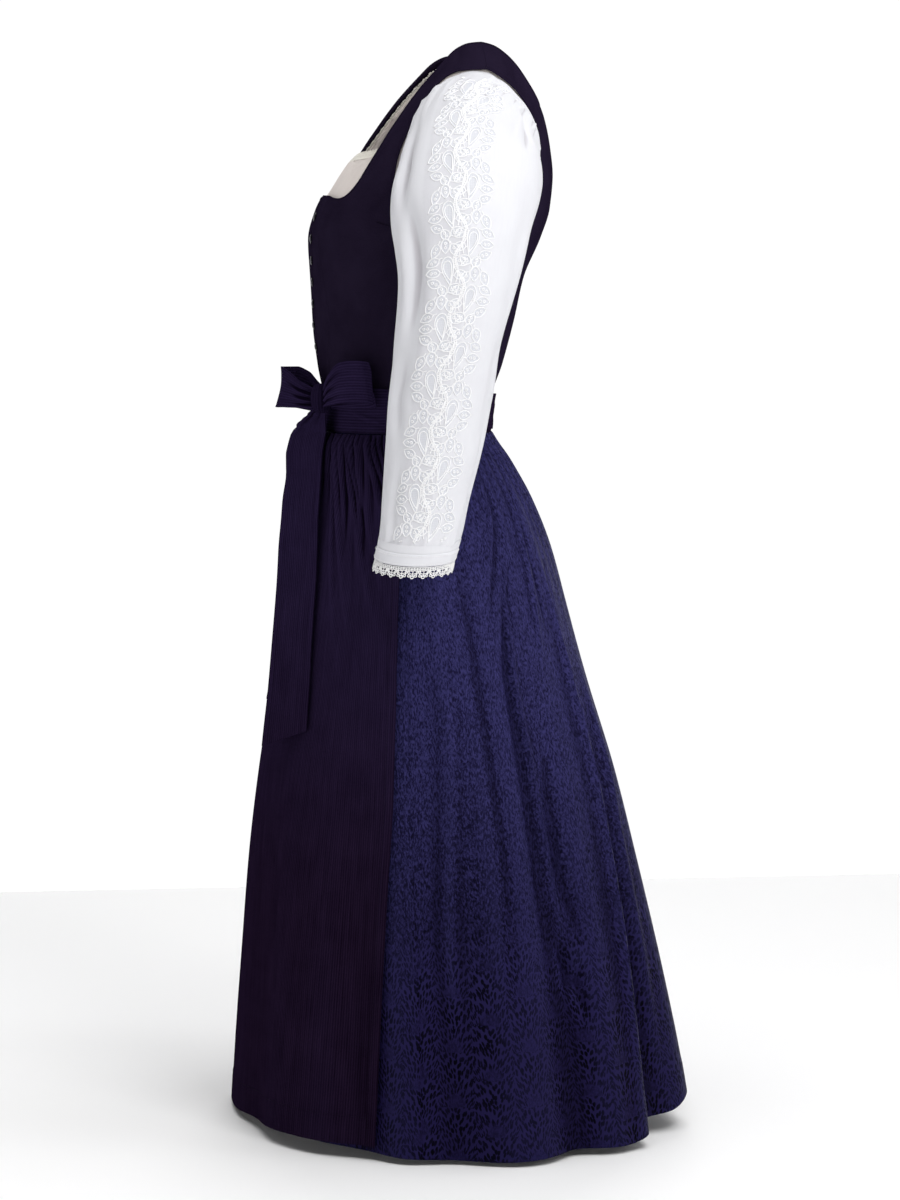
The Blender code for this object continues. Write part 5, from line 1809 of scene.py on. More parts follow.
@dataclass
class WaistTies:
    """Waistband and the two ties that go round the waist to the bow."""

    cloth: Material
    band_wall: float = 0.0018
    band_lift: float = 0.0010
    band_rows: int = 21
    tie_rows: int = 15
    columns_each_degree: float = 0.75
    band_end: float = 77.0
    band_top: float = -0.3680
    left: tuple[tuple[float, float, float, Under], ...] = (
        (77.0, -0.3680, -0.4042, Under.BODICE), (176.0, -0.3670, -0.4042, Under.BODICE),
        (201.6, -0.3665, -0.3860, Under.BODICE), (230.4, -0.3665, -0.3860, Under.TIE),
        (256.0, -0.3660, -0.4030, Under.TIE), (288.0, -0.3630, -0.3990, Under.BAND),
        (335.0, -0.3580, -0.3900, Under.BAND), (380.0, -0.3560, -0.3810, Under.BAND),
    )
    right: tuple[tuple[float, float, float, Under], ...] = (
        (30.0, -0.3560, -0.3800, Under.BAND), (40.0, -0.3560, -0.3830, Under.BAND),
        (60.0, -0.3570, -0.3940, Under.BAND), (79.0, -0.3600, -0.3980, Under.BAND),
        (86.4, -0.3610, -0.3990, Under.TIE), (176.0, -0.3650, -0.4020, Under.TIE),
        (201.6, -0.3872, -0.4042, Under.TIE), (230.4, -0.3872, -0.4042, Under.BODICE),
        (256.0, -0.3680, -0.4042, Under.BODICE), (283.0, -0.3680, -0.4042, Under.BODICE),
    )
    creases: tuple[Crease, ...] = crease_rows(
        (0.0018, 0.0014, 0.09, -0.378, 0.1586, -0.39, 0.2, -0.404),
        (0.0022, -0.001, 0.078, -0.378, 0.12, -0.383, 0.182, -0.387),
        (0.0026, 0.0012, 0.198, -0.376, 0.246, -0.384, 0.299, -0.379),
        (0.0026, 0.0012, 0.224, -0.372, 0.286, -0.382, 0.364, -0.376),
        (0.0024, -0.001, 0.39, -0.394, 0.455, -0.386, 0.515, -0.391),
        (0.0024, 0.0012, 0.416, -0.376, 0.494, -0.382, 0.556, -0.377),
        (0.0026, -0.001, 0.65, -0.39, 0.715, -0.382, 0.78, -0.386),
        (0.0024, 0.0012, 0.827, -0.366, 0.884, -0.374, 0.946, -0.37),
    )

    def strip(self, start: float, end: float, table: Table, wall: float, rows: int) -> Grid:
        """Strip round the waist.

        Args:
            start: angle of its first end.
            end: angle of its other end.
            table: rows of angle, top, bottom and clearance from the bodice.
            wall: thickness of the cloth.
            rows: number of steps down its width.

        Returns:
            The strip's outside, with its ribs along it.
        """
        columns = round((end - start) * self.columns_each_degree)
        angle = np.linspace(start, end, columns + 1)[None, :]
        t = np.linspace(0.0, 1.0, rows + 1)[:, None]
        top, bottom, lift = (curve.at(angle) for curve in curves(table))
        z = bottom + (top - bottom) * t
        soft = 0.00035 * np.sin(math.pi * t) ** 0.5
        crease = creased(self.creases, angle * TURN, z)
        out = lift + wall + soft + np.maximum(crease, -0.0004)
        return Grid(BODY.moved(angle + 0.0 * t, z, out), joined(z, angle * TURN))

    def gathers(self) -> Grid:
        """Waistband's outside, with the gathered rows above the panel's seam.

        Returns:
            The cloth.
        """
        low_edge = WAIST_SEAM + 0.0003
        ends = (-self.band_end, self.band_end)
        band = tuple((end, self.band_top, low_edge, self.band_lift) for end in ends)
        grid = self.strip(-self.band_end, self.band_end, band, self.band_wall, self.band_rows)
        turn = np.radians(grid.flat[..., 1] / TURN)
        height = grid.flat[..., 0]
        low = eased(height, -0.386, -0.3995)
        shirred = 0.5 + 0.5 * np.cos(turn * 150.0 + 1.2 * np.sin(turn * 13.0))
        rows = np.abs(np.sin((height + 0.4045) / 0.0046 * math.pi))
        return grid.raised(0.0007 * low * shirred * rows)

    def build(self) -> None:
        slot, held = "apron_cloth", Held.LAID
        band = self.gathers().facing(BODY_AXIS)
        given = self.band_wall, self.cloth, slot, held, "bodice_front_left"
        sheet_piece("apron_waistband", band, *given)
        given = APRON_WALL, self.cloth, slot, held, "bodice_back", "apron_waistband"
        spans = {
            Side.LEFT: (self.band_end + 0.2, 380.0, self.left),
            Side.RIGHT: (30.0, 360.0 - self.band_end - 0.2, self.right),
        }
        for side, (start, end, rows) in spans.items():
            table = tuple((a, top, low, under.value) for a, top, low, under in rows)
            grid = self.strip(start, end, table, APRON_WALL, self.tie_rows).facing(BODY_AXIS)
            sheet_piece(f"apron_tie_{side.word}", grid, *given)


@dataclass
class Bow:
    """Knot, two loops and two tails of the apron's bow."""

    cloth: Material
    surface: Apron
    knot_angle: float = 25.0
    turn: float = 27.0
    knot_height: float = -0.3690
    knot_out: float = 0.0170
    knot_hollow: float = 0.45
    loop_rows: int = 86
    tail_rows: int = 100
    columns: int = 30
    knot_size: tuple[float, float, float] = (0.020, 0.0245, 0.0300)
    loop_left: Table = (
        (0.0091, 0.0125, -0.369, 0.02, 0.0), (0.03, 0.0108, -0.363, 0.034, 0.0),
        (0.054, 0.0095, -0.358, 0.043, 2.0), (0.073, 0.0075, -0.356, 0.045, 6.0),
        (0.082, 0.01, -0.3535, 0.045, 12.0), (0.0815, 0.017, -0.352, 0.044, 12.0),
        (0.07, 0.0235, -0.3515, 0.043, 12.0), (0.049, 0.027, -0.353, 0.041, 9.0),
        (0.028, 0.028, -0.36, 0.032, 4.0), (0.0095, 0.022, -0.368, 0.02, 0.0),
    )
    loop_right: Table = (
        (-0.0091, 0.0125, -0.369, 0.02, 0.0), (-0.028, 0.009, -0.367, 0.031, -3.0),
        (-0.05, 0.006, -0.362, 0.04, -6.0), (-0.07, 0.006, -0.359, 0.043, -8.0),
        (-0.08, 0.011, -0.359, 0.043, -9.0), (-0.08, 0.018, -0.359, 0.043, -9.0),
        (-0.068, 0.024, -0.359, 0.042, -8.0), (-0.049, 0.027, -0.361, 0.037, -5.0),
        (-0.028, 0.028, -0.365, 0.028, -2.0), (-0.0095, 0.022, -0.369, 0.019, 0.0),
    )
    tail_left: Table = (
        (-0.3826, 19.5, 0.0165, 28.0, 0.0102), (-0.395, 12.5, 0.0261, 27.0, 0.0089),
        (-0.409, 6.5, 0.0309, 26.5, 0.0077), (-0.425, 6.5, 0.0307, 26.5, 0.0075),
        (-0.483, 12.5, 0.0293, 27.5, 0.0068), (-0.5226, 14.5, 0.0302, 30.0, 0.0064),
        (-0.5626, 17.5, 0.0286, 32.0, 0.0056), (-0.608, 19.0, 0.0262, 33.5, 0.005),
        (-0.661, 20.5, 0.0239, 35.5, 0.0044), (-0.712, 21.5, 0.0225, 36.5, 0.0038),
    )
    tail_right: Table = (
        (-0.3826, 19.0, 0.0115, 25.5, 0.0072), (-0.398, 9.0, 0.008, 22.0, 0.0066),
        (-0.415, 2.0, 0.006, 18.0, 0.006), (-0.45, -4.0, 0.0055, 12.0, 0.0055),
        (-0.52, -9.0, 0.0048, 5.5, 0.0048), (-0.6, -10.5, 0.0042, 3.0, 0.0042),
        (-0.68, -12.0, 0.0042, 0.5, 0.0042),
    )
    tail_slant: float = 0.010
    slant_rows: int = 9

    def place(self, along: ndarray, out: ndarray, height: ndarray) -> ndarray:
        """Points at distances along the bow and out from the waist, at a height.

        Args:
            along: distances to the left of the knot.
            out: distances out from the waist.
            height: heights.

        Returns:
            The points.
        """
        base = BODY.point(np.array(self.knot_angle), np.array(self.knot_height))
        a = math.radians(self.turn)
        level = base + np.multiply.outer(along, [math.cos(a), math.sin(a), 0.0])
        level = level + np.multiply.outer(out, [math.sin(a), -math.cos(a), 0.0])
        level[..., 2] = height
        return level

    def loop(self, table: Table, phase: float) -> Grid:
        """Cloth of one loop, pleated where the knot holds it.

        Args:
            table: rows of distance along, distance out, height, width and lean.
            phase: where its pleats begin, in turns.

        Returns:
            Outside of the cloth.
        """
        rows = through(table, self.loop_rows)
        a, tip = math.radians(self.turn), np.radians(rows[:, 4])
        out = np.array([math.sin(a), -math.cos(a), 0.0])
        ways = np.array([0.0, 0.0, 1.0]) * np.cos(tip)[:, None] + out * np.sin(tip)[:, None]
        centres = self.place(rows[:, 0], rows[:, 1], rows[:, 2])

        def pleats(s: ndarray, t: ndarray) -> ndarray:
            """Height of the pleats.

            Args:
                s: shares of the width, from -0.5 to 0.5.
                t: shares of the length.

            Returns:
                Heights in metres.
            """
            near = np.maximum(limited(1.0 - t / 0.30), limited((t - 0.70) / 0.30))
            deep = 0.0012 * near**1.3 * np.cos((s * 3.6 + phase) * 2.0 * math.pi)
            soft = 0.0012 * np.sin(s * 5.0 + t * 7.0 + phase) * (1.0 - near)
            edge = 0.0005 * bell(0.5 - np.abs(s), 0.06)
            return deep + soft + edge

        return ribbon_grid(centres, ways, rows[:, 3], self.columns, pleats)

    def tail(self, table: Table, phase: float) -> Grid:
        """Cloth of one hanging tail.

        Args:
            table: rows of height and, at both edges, angle and distance off the apron.
            phase: where its pleats begin, in turns.

        Returns:
            Outside of the cloth.
        """
        rows = through(table, self.tail_rows)
        slant = np.zeros(len(rows))
        slant[-self.slant_rows:] = np.linspace(0.0, self.tail_slant, self.slant_rows)

        def at(angle: ndarray, height: ndarray, out: ndarray) -> ndarray:
            """Points over the apron."""
            direction = self.surface.outward(angle, height)
            return self.surface.point(angle, height) + direction * out[..., None]

        front = at(rows[:, 1], rows[:, 0] - slant, rows[:, 2])
        back = at(rows[:, 3], rows[:, 0] + slant, rows[:, 4])
        widths = np.linalg.norm(back - front, axis=1)

        def pleats(s: ndarray, t: ndarray) -> ndarray:
            """Height of the pleats and of the side hems.

            Args:
                s: shares of the width, from -0.5 to 0.5.
                t: shares of the length.

            Returns:
                Heights in metres.
            """
            near = limited(1.0 - t / 0.22)
            deep = 0.0014 * near * np.cos((s * 2.4 + phase) * 2.0 * math.pi)
            hem = 0.0005 * eased(0.5 - np.abs(s), 0.13, 0.11)
            soft = 0.0010 * np.sin(t * 9.0 + phase * 4.0) * np.cos(s * math.pi) * (1.0 - near)
            return deep + hem + soft

        return ribbon_grid((front + back) * 0.5, unit(back - front), widths, self.columns, pleats)

    def knot(self) -> Grid:
        """Knot: a turn of the ribbon, drawn in with soft folds.

        Returns:
            Its outside, as a tube.
        """
        width, depth, height = self.knot_size
        share = np.linspace(0.03, 0.97, 42)[:, None]
        turn = np.linspace(0.0, 2.0 * math.pi, 72, endpoint=False)[None, :]
        level = -np.cos(share * math.pi)
        size = np.sin(np.clip(share, 0.05, 0.95) * math.pi) ** 0.50
        fold = 1.0 + 0.05 * np.cos(turn * 5.0 + 3.0 * share) * np.sin(share * math.pi)
        square = (np.abs(np.cos(turn)) ** 3.0 + np.abs(np.sin(turn)) ** 3.0) ** (-1.0 / 3.0)
        reach = size * fold * (0.55 + 0.45 * square)
        along = 0.5 * width * reach * np.cos(turn)
        out = self.knot_out + 0.5 * depth * reach * np.sin(turn)
        z = self.knot_height + 0.5 * height * level + 0.0 * turn
        flat = joined(turn * 0.5 * width, share * height)
        return Grid(self.place(along, out, z), flat, period=math.pi * width)

    def build(self) -> None:
        given = APRON_WALL, self.cloth, "apron_cloth"
        loops = (Side.LEFT, self.loop_left, 0.1), (Side.RIGHT, self.loop_right, 0.4)
        for side, table, phase in loops:
            node, grid = f"apron_bow_loop_{side.word}", self.loop(table, phase)
            sheet_piece(node, grid, *given, Held.FOLDED, "apron_waistband")
        tails = (Side.LEFT, self.tail_left, 0.2), (Side.RIGHT, self.tail_right, 0.6)
        for side, table, phase in tails:
            grid = self.tail(table, phase).facing(BODY_AXIS)
            sheet_piece(f"apron_tail_{side.word}", grid, *given, Held.HUNG, "apron_panel")
        centre = self.place(np.array(0.0), np.array(self.knot_out), np.array(self.knot_height))
        grid = self.knot().facing(tuple(centre))
        piece = sheet_piece("apron_bow_knot", grid, *given, Held.FOLDED, "apron_tie_left")
        # Painted shade over the whole knot, set as one fixed fold depth.
        depth = np.full(len(piece.data.vertices), self.knot_hollow, dtype=np.float32)
        piece.data.attributes["hollow"].data.foreach_set("value", depth)


def cut_cloth(
    name: str, points: ndarray, normals: ndarray, flat: ndarray,
    faces: Sequence[tuple[int, ...]], wall: float, material: Material,
) -> Object:
    """Closed thin cloth on any set of faces, with its wall on the inside.

    Args:
        name: name of the piece.
        points: outer points.
        normals: directions out of the cloth there.
        flat: places on the flat cloth, in metres.
        faces: outer faces.
        wall: thickness.
        material: finish of the cloth.

    Returns:
        The piece.
    """
    count = len(points)
    used = {(f[i], f[(i + 1) % len(f)]) for f in faces for i in range(len(f))}
    rim = [(b, a, a + count, b + count) for a, b in sorted(used) if (b, a) not in used]
    skins = list(faces) + [tuple(i + count for i in reversed(f)) for f in faces]
    both = np.concatenate([points, points - normals * wall])
    piece = mesh_piece(name, both, skins + rim)
    loops = np.array([i for f in skins + rim for i in f])
    return finished(piece, np.tile(flat, (2, 1))[loops], material)


@dataclass
class Armhole:
    """Opening of the bodice round the arm, as rings inside its edge."""

    bodice: Bodice
    centre: tuple[float, float] = (92.0, -0.1250)
    degree: float = 0.0023

    def __post_init__(self) -> None:
        """Measure the edge from the centre."""
        turns, reaches = [], []
        for angle, z in list(self.bodice.front_armhole) + list(self.bodice.back_armhole[1:-1]):
            ahead, up = (self.centre[0] - angle) * self.degree, z - self.centre[1]
            turns.append(math.degrees(math.atan2(ahead, up)) % 360.0)
            reaches.append(math.hypot(ahead, up))
        wide = [t + shift for shift in (-360.0, 0.0, 360.0) for t in turns]
        self.reach = Curve(wide, reaches * 3)

    def ring(self, turn: ndarray, share: float) -> ndarray:
        """Angles and heights at a share of the way to the edge.

        Args:
            turn: turns round the opening: 0 is up and 90 the front.
            share: share of the way from the centre.

        Returns:
            Rows of angle and height.
        """
        reach = self.reach.at(np.asarray(turn) % 360.0) * share
        t = np.radians(turn)
        angle = self.centre[0] - reach * np.sin(t) / self.degree
        return joined(angle, self.centre[1] + reach * np.cos(t))


class Panel(Enum):
    """Panel of the blouse's body, as the angle of its middle."""

    FRONT = 0.0
    BACK = 180.0


@dataclass
class BlouseBody:
    """Front and back of the blouse under the bodice, and the lace frill round its neck."""

    cloth: Material
    lace: Material
    armhole: Armhole
    hem: float = -0.300
    width: float = 0.46
    cut_share: float = 0.75
    body_rows: int = 12
    arm_rows: int = 48
    front_neck_rows: int = 40
    back_neck_rows: int = 28
    columns: int = 24
    arm_share: float = 0.992
    lift: float = BLOUSE_LIFT
    frill: float = 0.0128
    frill_pitch: float = 0.0092
    frill_radius: float = 0.00048
    frill_lean: float = 0.16
    neck: Table = (
        (0.0, -0.124), (20.0, -0.125), (34.0, -0.124), (40.0, -0.116), (42.0, -0.098),
        (43.0, -0.08), (45.5, -0.065), (50.0, -0.05), (56.0, -0.039), (65.0, -0.029),
        (76.0, -0.022), (90.0, -0.019), (104.0, -0.026), (116.0, -0.038), (129.0, -0.054),
        (141.0, -0.067), (152.0, -0.078), (180.0, -0.088),
    )

    def neck_edge(self, panel: Panel, rows: int) -> ndarray:
        """Neck of a panel from its middle to the shoulder."""
        part = [(a, z) for a, z in self.neck if abs(a - panel.value) <= 90.0]
        return spaced(part[::-1] if panel is Panel.BACK else part, rows)

    def cut(self, name: str, panel: Panel) -> Object:
        """Front or back of the blouse, cut round the neck and the armholes.

        Args:
            name: the piece's name.
            panel: which of the two it is.

        Returns:
            The piece.
        """
        centre, back = panel.value, panel is Panel.BACK
        low = self.armhole.ring(np.array(180.0), self.arm_share)
        rise = (low[1] - self.hem) / self.body_rows
        side = [(low[0], self.hem + rise * i) for i in range(self.body_rows)]
        turns = 180.0 - 180.0 * np.arange(self.arm_rows + 1) / self.arm_rows
        turns = 360.0 - turns if back else turns
        outer = np.concatenate([np.array(side), self.armhole.ring(turns, self.arm_share)])
        neck = self.neck_edge(panel, self.back_neck_rows if back else self.front_neck_rows)
        below = len(outer) - len(neck)
        rise = np.linspace(self.hem, neck[0, 1], below + 1)[:-1]
        inner = np.concatenate([np.stack([np.full(below, centre), rise], axis=1), neck])
        t = np.linspace(0.0, 1.0, self.columns + 1)[None, :, None]
        places = inner[:, None] + (outer - inner)[:, None] * t
        a, z = places[..., 0], places[..., 1]
        gathered = 0.0006 * np.sin(a * 4.2) * eased(z, -0.160, -0.120)
        gathered = gathered * eased(t[..., 0], 0.9, 0.2)
        half = BODY.moved(a, z, self.lift + gathered)
        out = BODY.normal(a, z)
        gap = SEAM_LAP * (-0.5 if back else 0.5)
        half[: self.body_rows + 1, -1, 1] += gap
        half[-1, :, 1] += gap
        rows, columns = a.shape
        points, normals = (
            np.concatenate([part, Side.RIGHT.placed(part)])
            for part in (half.reshape(-1, 3), out.reshape(-1, 3))
        )
        flat = joined(a * TURN, z).reshape(-1, 2)
        flat = np.concatenate([flat, flat * [-1.0, 1.0] + [2.0 * TURN * centre, 0.0]])
        index = np.arange(len(points))
        for r in range(below + 1):
            index[rows * columns + r * columns] = r * columns
        kept, number = np.unique(index, return_inverse=True)
        faces = []
        for across in (False, True):
            for r in range(rows - 1):
                for c in range(columns - 1):
                    k = (across * rows + r) * columns + c
                    face = tuple(number[[k, k + 1, k + columns + 1, k + columns]].tolist())
                    faces.append(face if across == back else face[::-1])
        parts = points[kept], normals[kept], flat[kept], faces
        return cut_cloth(name, *parts, BLOUSE_WALL, self.cloth)

    def frill_lines(self) -> Lines:
        """Threads of the lace frill: two header rows, bars, arches and small rings.

        Returns:
            The lines.
        """
        front = self.neck_edge(Panel.FRONT, 160)
        back = self.neck_edge(Panel.BACK, 120)[::-1]
        quarter = np.concatenate([front[:-1], back])
        across = quarter[::-1] * [-1.0, 1.0] + [360.0, 0.0]
        edge = np.concatenate([quarter[:-1], across[:-1]])
        base, out = BODY.moved(*edge.T, self.lift), BODY.normal(*edge.T)
        run = unit(np.roll(base, -1, axis=0) - np.roll(base, 1, axis=0))
        away = unit(np.cross(out, run))
        away = away * np.where(away[:, 2:] > 0, 1.0, -1.0)
        return LaceEdge(base, away, out, -self.frill_lean, self.frill_pitch, self.frill).lines()

    def build(self) -> None:
        for panel in Panel:
            name = f"blouse_{panel.name.lower()}"
            piece = self.cut(name + "_cloth", panel)
            Dressing("blouse_cloth", (name,)).give(piece)
            area = sum(p.area for p in piece.data.polygons) * 0.5
            length = area / self.width / self.cut_share
            LOG.info("%s: sheet %.3f x %.3f m, %.4f m2", piece.name, self.width, length, area)
        frill = self.frill_lines()
        piece = ThreadTree().lay("neck_lace_crochet", frill, self.frill_radius, self.lace)
        Dressing("lace", ("neck_lace",)).give(piece)


@dataclass
class LaceEdge:
    """Crochet edging along a closed line: header rows, bars, scallops and small rings."""

    base: ndarray
    away: ndarray
    out: ndarray
    lean: float
    pitch: float
    depth: float

    def __post_init__(self) -> None:
        """Measure the line."""
        ring = np.concatenate([self.base, self.base[:1]])
        self.steps = np.linalg.norm(np.diff(ring, axis=0), axis=1)
        self.run = travelled(ring)

    def at(self, along: ndarray, down: ndarray, lift: float = 0.0) -> ndarray:
        """Points at distances along the line, away from it and out of the cloth.

        Args:
            along: distances along the line.
            down: distances away from it.
            lift: distance out of the cloth.

        Returns:
            The points.
        """
        place = np.mod(along, self.run[-1])
        index = np.searchsorted(self.run, place, side="right") - 1
        index = np.clip(index, 0, len(self.base) - 1)
        share = ((place - self.run[index]) / self.steps[index])[..., None]
        base, away, side = (
            values[index] * (1.0 - share) + values[(index + 1) % len(self.base)] * share
            for values in (self.base, self.away, self.out)
        )
        down = np.asarray(down)[..., None]
        return base + away * down + side * (down * self.lean + lift)

    def lines(self) -> Lines:
        """Threads of the edging.

        Returns:
            The lines.
        """
        whole = float(self.steps.sum())
        count = round(whole / self.pitch)
        pitch = whole / count
        deep = self.depth
        made = Lines()
        fine = np.linspace(0.0, whole, count * 8, endpoint=False)
        for row in (0.0004, 0.17 * deep, 0.30 * deep):
            made.add(self.at(fine, row + 0.0002 * np.sin(fine / pitch * 4 * math.pi)), True)
        arc = np.linspace(0.0, math.pi, 10)
        ring = np.linspace(0.0, 2 * math.pi, 7, endpoint=False)
        for i in range(count):
            middle = (i + 0.5) * pitch
            for x in (-0.33, 0.0, 0.33):
                bar = np.linspace(0.30, 0.62 if x else 0.72, 4) * deep
                made.add(self.at(middle + x * pitch + 0.0 * bar, bar))
            for x in (-0.375, -0.125, 0.125, 0.375):
                bar = np.linspace(0.0, 0.30, 3) * deep
                made.add(self.at(middle + x * pitch + 0.06 * pitch * np.sin(bar * 900), bar))
            for high, wide in ((0.74, 0.49), (0.58, 0.40)):
                down = (0.28 + (high - 0.28) * np.sin(arc) ** 0.8) * deep
                made.add(self.at(middle - np.cos(arc) * wide * pitch, down, 0.0002))
            for x, y, r in ((-0.29, 0.74, 0.105), (0.0, 0.87, 0.115), (0.29, 0.74, 0.105)):
                around = middle + (x + 1.25 * r * np.cos(ring)) * pitch
                made.add(self.at(around, y * deep + r * pitch * np.sin(ring)), True)
        return made


@dataclass
class Sleeve:
    """Left sleeve as a surface, with its mirror image for the right."""

    cloth: Material
    lace: Material
    thread: Material
    net: Material
    plain: Material
    armhole: Armhole
    rows: int = 116
    columns: int = 116
    strip_turn: float = 8.0
    degree: float = 0.00095
    cuff_wall: float = 0.0006
    cuff_rows: int = 22
    cuff_degree: float = 0.00075
    cuff_swell: float = 0.0010
    thread_radius: float = 0.00058
    lace_radius: float = 0.00050
    seat: Table = ((0.985, BLOUSE_LIFT), (0.90, 0.0030))
    rings: Table = (
        (0.1645, -0.207, 0.14, 6.0, -0.1, 0.034), (0.167, -0.213, 0.134, 18.0, -0.108, 0.037),
        (0.169, -0.221, 0.126, 33.0, -0.1145, 0.035), (0.171, -0.231, 0.118, 48.0, -0.116, 0.03),
        (0.172, -0.243, 0.112, 63.0, -0.113, 0.0235), (0.173, -0.258, 0.109, 77.0, -0.11, 0.0155),
        (0.1745, -0.278, 0.1085, 90.0, -0.11, 0.005), (0.179, -0.318, 0.105, 92.0, -0.114, -0.009),
        (0.1855, -0.365, 0.098, 95.0, -0.1195, -0.019),
        (0.1945, -0.413, 0.092, 97.0, -0.1245, -0.03),
        (0.206, -0.46, 0.085, 98.0, -0.1285, -0.0435), (0.217, -0.494, 0.08, 98.0, -0.132, -0.053),
        (0.2176, -0.4962, 0.0798, 98.0, -0.1324, -0.0538),
    )
    cuff: Table = (
        (0.2172, -0.4945, 0.08, 98.0, -0.132, -0.053),
        (0.2205, -0.504, 0.079, 98.0, -0.134, -0.056),
        (0.2235, -0.514, 0.0785, 98.0, -0.1365, -0.0595),
    )
    edging: Table = (
        (0.2236, -0.5147, 0.0785, 98.0, -0.1365, -0.0595),
        (0.227, -0.529, 0.08, 98.0, -0.1405, -0.063),
    )
    creases: tuple[Crease, ...] = crease_rows(
        (0.01, 0.003, 0.05, 0.13, 0.03, 0.2, 0.036, 0.3),
        (0.01, -0.0044, 0.062, 0.1, 0.048, 0.15, 0.05, 0.21),
        (0.01, -0.004, 0.07, 0.04, 0.06, 0.09, 0.07, 0.14),
        (0.011, -0.0036, -0.062, 0.1, -0.05, 0.16, -0.058, 0.24),
        (0.01, -0.0034, -0.05, 0.22, -0.06, 0.27, -0.052, 0.34),
        (0.0065, -0.0046, 0.046, 0.035, 0.052, 0.075, 0.06, 0.12),
        (0.0065, 0.0036, 0.058, 0.04, 0.064, 0.08, 0.074, 0.13),
        (0.008, -0.0042, 0.06, 0.12, 0.05, 0.17, 0.056, 0.24),
        (0.008, 0.0036, 0.072, 0.13, 0.062, 0.18, 0.066, 0.26),
        (0.0085, -0.0034, 0.05, 0.24, 0.062, 0.29, 0.05, 0.35),
        (0.009, 0.003, 0.086, 0.16, 0.074, 0.26, 0.08, 0.36),
        (0.01, -0.0034, -0.075, 0.26, -0.066, 0.33, -0.07, 0.42),
        (0.008, -0.0026, 0.045, 0.33, 0.052, 0.4, 0.046, 0.46),
        (0.008, 0.0022, -0.048, 0.38, -0.04, 0.42, -0.044, 0.47),
        (0.007, -0.0034, 0.11, 0.24, 0.13, 0.27, 0.16, 0.275),
        (0.007, 0.003, 0.1, 0.29, 0.135, 0.31, 0.165, 0.305),
        (0.007, -0.003, -0.11, 0.2, -0.135, 0.23, -0.16, 0.235),
        (0.007, 0.0026, -0.1, 0.24, -0.13, 0.27, -0.16, 0.27),
        (0.03, -0.0065, -0.09, 0.06, -0.092, 0.17, -0.09, 0.29),
        (0.005, 0.0044, -0.036, 0.022, -0.04, 0.05, -0.03, 0.085),
        (0.0045, -0.004, -0.046, 0.024, -0.05, 0.055, -0.044, 0.09),
    )

    @staticmethod
    def ring(row: Sequence[float], turn: ndarray, swell: float = 0.0) -> ndarray:
        """Points of a ring.

        Args:
            row: the inner end's x and z, the length, the lean, and the front's and the back's y.
            turn: turns round it: 0 is its outer end and 90 its front.
            swell: how much wider it is made.

        Returns:
            The points.
        """
        inner_x, inner_z, length, lean, front_y, back_y = row
        t, tip = np.radians(turn), math.radians(lean)
        reach = 0.5 * length * (1.0 + np.cos(t)) + 0.5 * swell * np.cos(t)
        half = 0.5 * (back_y - front_y + swell)
        middle = 0.5 * (front_y + back_y)
        x, z = inner_x + reach * math.sin(tip), inner_z + reach * math.cos(tip)
        return joined(x, middle - half * np.sin(t), z)

    def turns(self) -> ndarray:
        """Turns of the columns."""
        return np.arange(self.columns) * 360.0 / self.columns

    def base_rings(self) -> list[ndarray]:
        """First two rings, in the armhole."""
        rings = ((self.armhole.ring(self.turns(), share), out) for share, out in self.seat)
        return [BODY.moved(*ring.T, out) for ring, out in rings]

    def smooth(self, rings: Sequence[ndarray], rows: int) -> tuple[ndarray, ndarray]:
        """Even rows through rings of points, and each row's distance down the sleeve.

        Args:
            rings: points of each ring.
            rows: number of steps.

        Returns:
            The points, and the distances.
        """
        keys = np.stack(rings)
        run = travelled(keys)
        slopes = np.gradient(keys, run, axis=0)
        down = np.linspace(0.0, run[-1], rows + 1)
        i = np.clip(np.searchsorted(run, down, side="right") - 1, 0, len(run) - 2)
        step = (run[i + 1] - run[i])[:, None, None]
        t = (down - run[i])[:, None, None] / step
        return smooth_between(t, step, i, keys, slopes), down

    def relief(self, down: ndarray, turn: ndarray) -> ndarray:
        """Gathers at the head and creases down the sleeve.

        Args:
            down: distances down the sleeve.
            turn: turns round it.

        Returns:
            Heights in metres.
        """
        total = creased(self.creases, wrapped(turn) * self.degree, down)
        t = np.radians(turn)
        top = eased(np.cos(t + 0.2), -0.10, 0.65)
        seam = 0.0125 + 0.0065 * limited(np.cos(t + 0.7))
        past = down - seam
        wave = np.cos(t * 34.0 + 2.2 * np.sin(5.0 * t)) + 0.6 * np.cos(t * 57.0 + 2.0)
        reach = 0.050 + 0.020 * np.sin(t * 19.0) + 0.012 * np.sin(t * 31.0 + 1.0)
        near = eased(past, 0.0, 0.006) * limited(1.0 - past / reach) ** 1.3
        puff = 0.0022 * top * eased(past, 0.0, 0.007) * bell(past, 0.040)
        sewn = -0.0013 * bell(past, 0.0014) * eased(np.cos(t), -0.5, 0.2)
        low = 0.0004 * np.cos(t * 22.0) * eased(down, down.max() - 0.03, down.max())
        return total + 0.0016 * top * near * wave + puff + sewn + low

    def cloth_grid(self) -> Grid:
        """Outside of the left sleeve, from inside the armhole down to the cuff.

        Returns:
            The cloth.
        """
        turn = self.turns()
        rings = self.base_rings() + [self.ring(row, turn) for row in self.rings]
        points, down = self.smooth(rings, self.rows)
        flat = joined(turn[None, :] * self.degree, down[:, None])
        relief = self.relief(down[:, None], turn[None, :])
        return Grid(points, flat, period=360.0 * self.degree).raised(relief)

